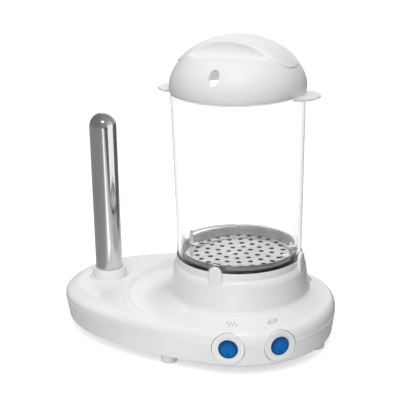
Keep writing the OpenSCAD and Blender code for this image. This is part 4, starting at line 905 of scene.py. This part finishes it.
def lid_skin(depth, turns, rises):
    """The points where rays from the middle of the lid come out of a shape, found by halving each ray's length: one
    row for each rise of the rays, in radians."""
    way = np.stack([np.cos(rises)[:, None] * np.cos(turns), np.cos(rises)[:, None] * np.sin(turns),
                    np.sin(rises)[:, None] + 0 * turns])
    near, far = np.zeros(way.shape[1:]), np.full(way.shape[1:], 1.5 * LID_R)
    for _ in range(32):
        half = (near + far) / 2
        x, y, z = way * half
        inside = depth(x, y, z + LID_MIDDLE) > 0
        near, far = np.where(inside, half, near), np.where(inside, far, half)
    return np.moveaxis(way * near, 0, -1) + [0, 0, LID_MIDDLE]


def lid_turns(count):
    """Angles round the lid, closer together where the edges of the band run down the dome."""
    a = np.linspace(0, TURN, 2881)
    edge, spread = np.radians([65, 9])
    weight = 1 + 1.5 * np.exp(-((np.abs(a % np.pi - np.pi / 2) - edge) / spread) ** 2)
    share = np.concatenate([[0], np.cumsum((weight[1:] + weight[:-1]) / 2)])
    return np.interp(np.linspace(0, share[-1], count, endpoint=False), share, a)


def lid_shape():
    """The lid as one closed grid: the outside from the middle to the widest line, with the rows closest together at
    the ends of the band, then the rounded lip, the seat, the plug, and the inside back to the middle."""
    v = lid_turns(440)
    rim_rise = math.atan2(LID_Z - LID_MIDDLE, LID_R)
    rises = [[np.pi / 2]]
    for start, end, count in zip(LID_RISES, (*LID_RISES[1:], rim_rise), LID_ROWS):
        rises.append(np.linspace(start, end, count)[1:])
    outside = lid_skin(lid_outside, v, np.concatenate(rises))
    a = np.linspace(0, np.pi / 2, 9)[1:]
    lip = coords(TANK_TOP_R + (LID_R - TANK_TOP_R) * np.cos(a), LID_Z + (TANK_TOP - LID_Z) * np.sin(a))
    plug = [(PLUG_R + 0.3, TANK_TOP), (PLUG_R, TANK_TOP - 0.3), (PLUG_R - 0.2, PLUG_FOOT + 0.5),
            (PLUG_R - 0.6, PLUG_FOOT), (PLUG_R - 2.2, PLUG_FOOT), (PLUG_R - 2.6, PLUG_FOOT + 0.5),
            (PLUG_R - LID_WALL, LID_Z + LID_WALL)]
    line = np.concatenate([lip, plug])
    r, h = line[:, :1], line[:, 1:]
    rim = coords(r * np.cos(v), r * np.sin(v), h)
    inner_rise = math.atan2(LID_Z + LID_WALL - LID_MIDDLE, LID_R - LID_WALL)
    inside = lid_skin(lid_inside, v, np.linspace(inner_rise, np.pi / 2, 36))
    return grid(np.concatenate([outside, rim, inside]))


def vent_cutter():
    """An oval bar through the lid's front wall."""
    v = np.linspace(0, TURN, 64, endpoint=False)
    x, y = VENT_HALF[0] * np.cos(v), VENT_HALF[1] * np.sin(v)
    points = np.array([coords(s * x, s * y, h) for s, h in ((0, -8), (1, -8), (1, 8), (0, 8))])
    wall_y = -LID_R * math.sqrt(1 - (VENT_RISE / DOME_H) ** 2)
    return moved(grid(points), turn_x(VENT_TILT), (TANK_X, wall_y, LID_Z + VENT_RISE))


lid = carve(make_mesh("lid", on_tank(lid_shape())), vent_cutter())
place("domed_lid", lid, LID_WHITE, "cover", ("lid",))

# Tray's bail


def bail_shape():
    """Wire of the bail: a half circle with both ends turned in along X, tipped down to the rear."""
    a = np.linspace(0, np.pi, 97)
    turn = np.linspace(0, np.pi / 2, 9)
    arc = BAIL_R * coords(np.cos(a), np.sin(a))
    arc = arc[arc[:, 1] > HOOK_BEND]
    corner = coords(BAIL_R - HOOK_BEND * (1 - np.sin(turn)), HOOK_BEND * (1 - np.cos(turn)))
    hook = np.concatenate([[[HOOK_X, 0], [BAIL_R - HOOK_BEND, 0]], corner[1:]])
    line = np.concatenate([hook, arc, hook[::-1] * [-1, 1]])
    wire = tube(coords(*line.T, 0), (0, 0, 1), WIRE_R, WIRE_R, 20)
    return moved(wire, turn_x(-BAIL_REST), (TANK_X, 0, BAIL_Z))


place("wire_bail", bail_shape(), STEEL, "tray_bail", ("bail",))

# Camera, floor and light

VIEW_FROM, LENS, SENSOR = np.array([0.44605, -1.02685, 0.5084]), 104.74, 36.0
PAN, ROLL = math.radians(23.21), math.radians(-1.23)
AHEAD = np.array([-0.3745, 0.8735, -0.3112])
AHEAD /= np.linalg.norm(AHEAD)
LEVEL = np.array([math.cos(PAN), math.sin(PAN), 0.0])
FRONT = np.array([math.sin(PAN), -math.cos(PAN), 0.0])
UPRIGHT = np.cross(LEVEL, AHEAD)
# Floor: half width and drop in mm; then, in metres along LEVEL, its grey, its glow and its pale strip in mirrors
FLOOR_HALF, FLOOR_DROP, FLOOR_SPAN = 6000.0, 0.02, (-0.5, 0.5)
FLOOR_GREY = [(0, 0.28), (1, 0.12), (0.3, 0.33), (0.42, 0.7), (0.58, 0.72), (0.72, 0.12)]
FLOOR_GLOW = [(spot, 1.1 - 0.8 * share) for spot, share in FLOOR_GREY]
FLOOR_STRIP = [(0, 0.0), (1, 0.0), (0.38, 0.0), (0.45, 1.0), (0.52, 0.05)]
FLOOR_BEHIND, BEHIND_FROM = 0.02, (0.1, 0.2)
# Scattered light: its level, what the front and the top add, and its share from left to right
LIGHT, LIGHT_FRONT, LIGHT_UP = 1.1, 0.6, 0.7
LIGHT_BAND = [(0, 0.2), (1, 0.0), (0.15, 0.24), (0.3, 0.6), (0.45, 1.0), (0.62, 1.06), (0.74, 0.16)]
# Room and white wall that mirrors see
ROOM_LEFT, ROOM_RIGHT, ROOM_SPAN = 0.2, 0.35, (-0.5, 0.9)
WALL_BEHIND, WALL_SIDE = (0.6, 0.9), (-0.3, -0.1)
KEY_FROM, KEY_AIM, KEY_SIZE, KEY_WATTS = (0.38, -0.86, 1.37), (0.048, 0, 0.06), (0.45, 0.3), 2.4


def stand(obj, axes, position):
    """Puts an object at a position, with its own X, Y and Z along the columns of axes."""
    obj.matrix_world = Matrix([[*row, p] for row, p in zip(axes, position)] + [[0, 0, 0, 1]])
    bpy.context.scene.collection.objects.link(obj)


def view():
    """The camera, which looks ahead with a slight roll."""
    camera = bpy.data.objects.new("camera", bpy.data.cameras.new("camera"))
    camera.data.lens, camera.data.sensor_width = LENS, SENSOR
    camera.data.clip_start, camera.data.clip_end = 0.05, 50.0
    right = LEVEL * math.cos(ROLL) + UPRIGHT * math.sin(ROLL)
    up = UPRIGHT * math.cos(ROLL) - LEVEL * math.sin(ROLL)
    stand(camera, np.column_stack([right, up, -AHEAD]), VIEW_FROM)
    bpy.context.scene.camera = camera
    bpy.context.scene.view_settings.view_transform = "Standard"


def floor():
    """A wide floor that keeps the shadow, pale on the left and grey on the right. Seen directly or through clear
    walls it glows, so that it reaches white; mirrors see a pale strip of it in front, and all of it faintly behind."""
    line = np.linspace(-FLOOR_HALF, FLOOR_HALF, 9)
    x, y = np.meshgrid(line, line, indexing="ij")
    mesh = make_mesh("floor", grid(coords(x, y, -FLOOR_DROP), wrap_v=False))
    f = Finish("pale_floor").set(Roughness=0.9, Specular_IOR_Level=0.1, Emission_Color=(1, 1, 1, 1))
    path = f.nodes.new("ShaderNodeLightPath").outputs
    spot = f.along(f.place, LEVEL, 0, 1, *FLOOR_SPAN)
    behind = f.along(f.place, -FRONT, 0, 1, *BEHIND_FROM)
    pale = f.mix(behind, f.ramp(spot, FLOOR_STRIP), FLOOR_BEHIND)
    strip = f.number("MULTIPLY", path["Is Glossy Ray"], pale)
    seen = f.number("MAXIMUM", path["Is Camera Ray"], path["Transmission Depth"])
    f.set(Base_Color=f.ramp(spot, FLOOR_GREY), Emission_Strength=f.mix(seen, strip, f.ramp(spot, FLOOR_GLOW)))
    mesh.materials.append(f.material)
    obj = bpy.data.objects.new("floor", mesh)
    bpy.context.scene.collection.objects.link(obj)


def soft_box(name, position, aim, size, watts):
    """A square lamp with an even face, aimed at a point."""
    data = bpy.data.lights.new(name, "AREA")
    data.shape, data.size, data.size_y, data.energy = "RECTANGLE", size[0], size[1], watts
    ahead = np.asarray(aim, float) - position
    ahead /= np.linalg.norm(ahead)
    side = np.cross(ahead, (0, 0, 1))
    side /= np.linalg.norm(side)
    stand(bpy.data.objects.new(name, data), np.column_stack([side, np.cross(side, ahead), -ahead]), position)


def studio():
    """The world: white to the camera and through clear walls. Scattered light comes in a wide band from the front
    over the top, and fades more to the right than to the left; mirrors see a white wall behind the object and a
    grey room that grows lighter to the right."""
    world = bpy.data.worlds.new("studio")
    bpy.context.scene.world = world
    w = Nodes(world)
    way = w.nodes.new("ShaderNodeTexCoord").outputs["Generated"]
    path = w.nodes.new("ShaderNodeLightPath").outputs
    slope = LIGHT_FRONT * FRONT + LIGHT_UP * np.array([0, 0, 1.0])
    steep = np.linalg.norm(slope)
    rising = w.along(way, slope / steep, LIGHT - steep, LIGHT + steep, -1, 1)
    scattered = w.number("MULTIPLY", w.ramp(w.along(way, LEVEL, 0, 1, -1, 1), LIGHT_BAND), rising)
    wall = w.number("MULTIPLY", w.along(way, -FRONT, 0, 1, *WALL_BEHIND), w.along(way, LEVEL, 0, 1, *WALL_SIDE))
    mirrored = w.number("MAXIMUM", w.along(way, LEVEL, ROOM_LEFT, ROOM_RIGHT, *ROOM_SPAN), wall)
    light = w.mix(path["Is Glossy Ray"], scattered, mirrored)
    for white_ray in ("Transmission Depth", "Is Camera Ray"):
        light = w.mix(path[white_ray], light, 1.0)
    background = w.nodes["Background"].inputs
    w.feed(background["Strength"], light)
    w.feed(background["Color"], (1, 1, 1, 1))


view()
floor()
studio()
soft_box("key", KEY_FROM, KEY_AIM, KEY_SIZE, KEY_WATTS)
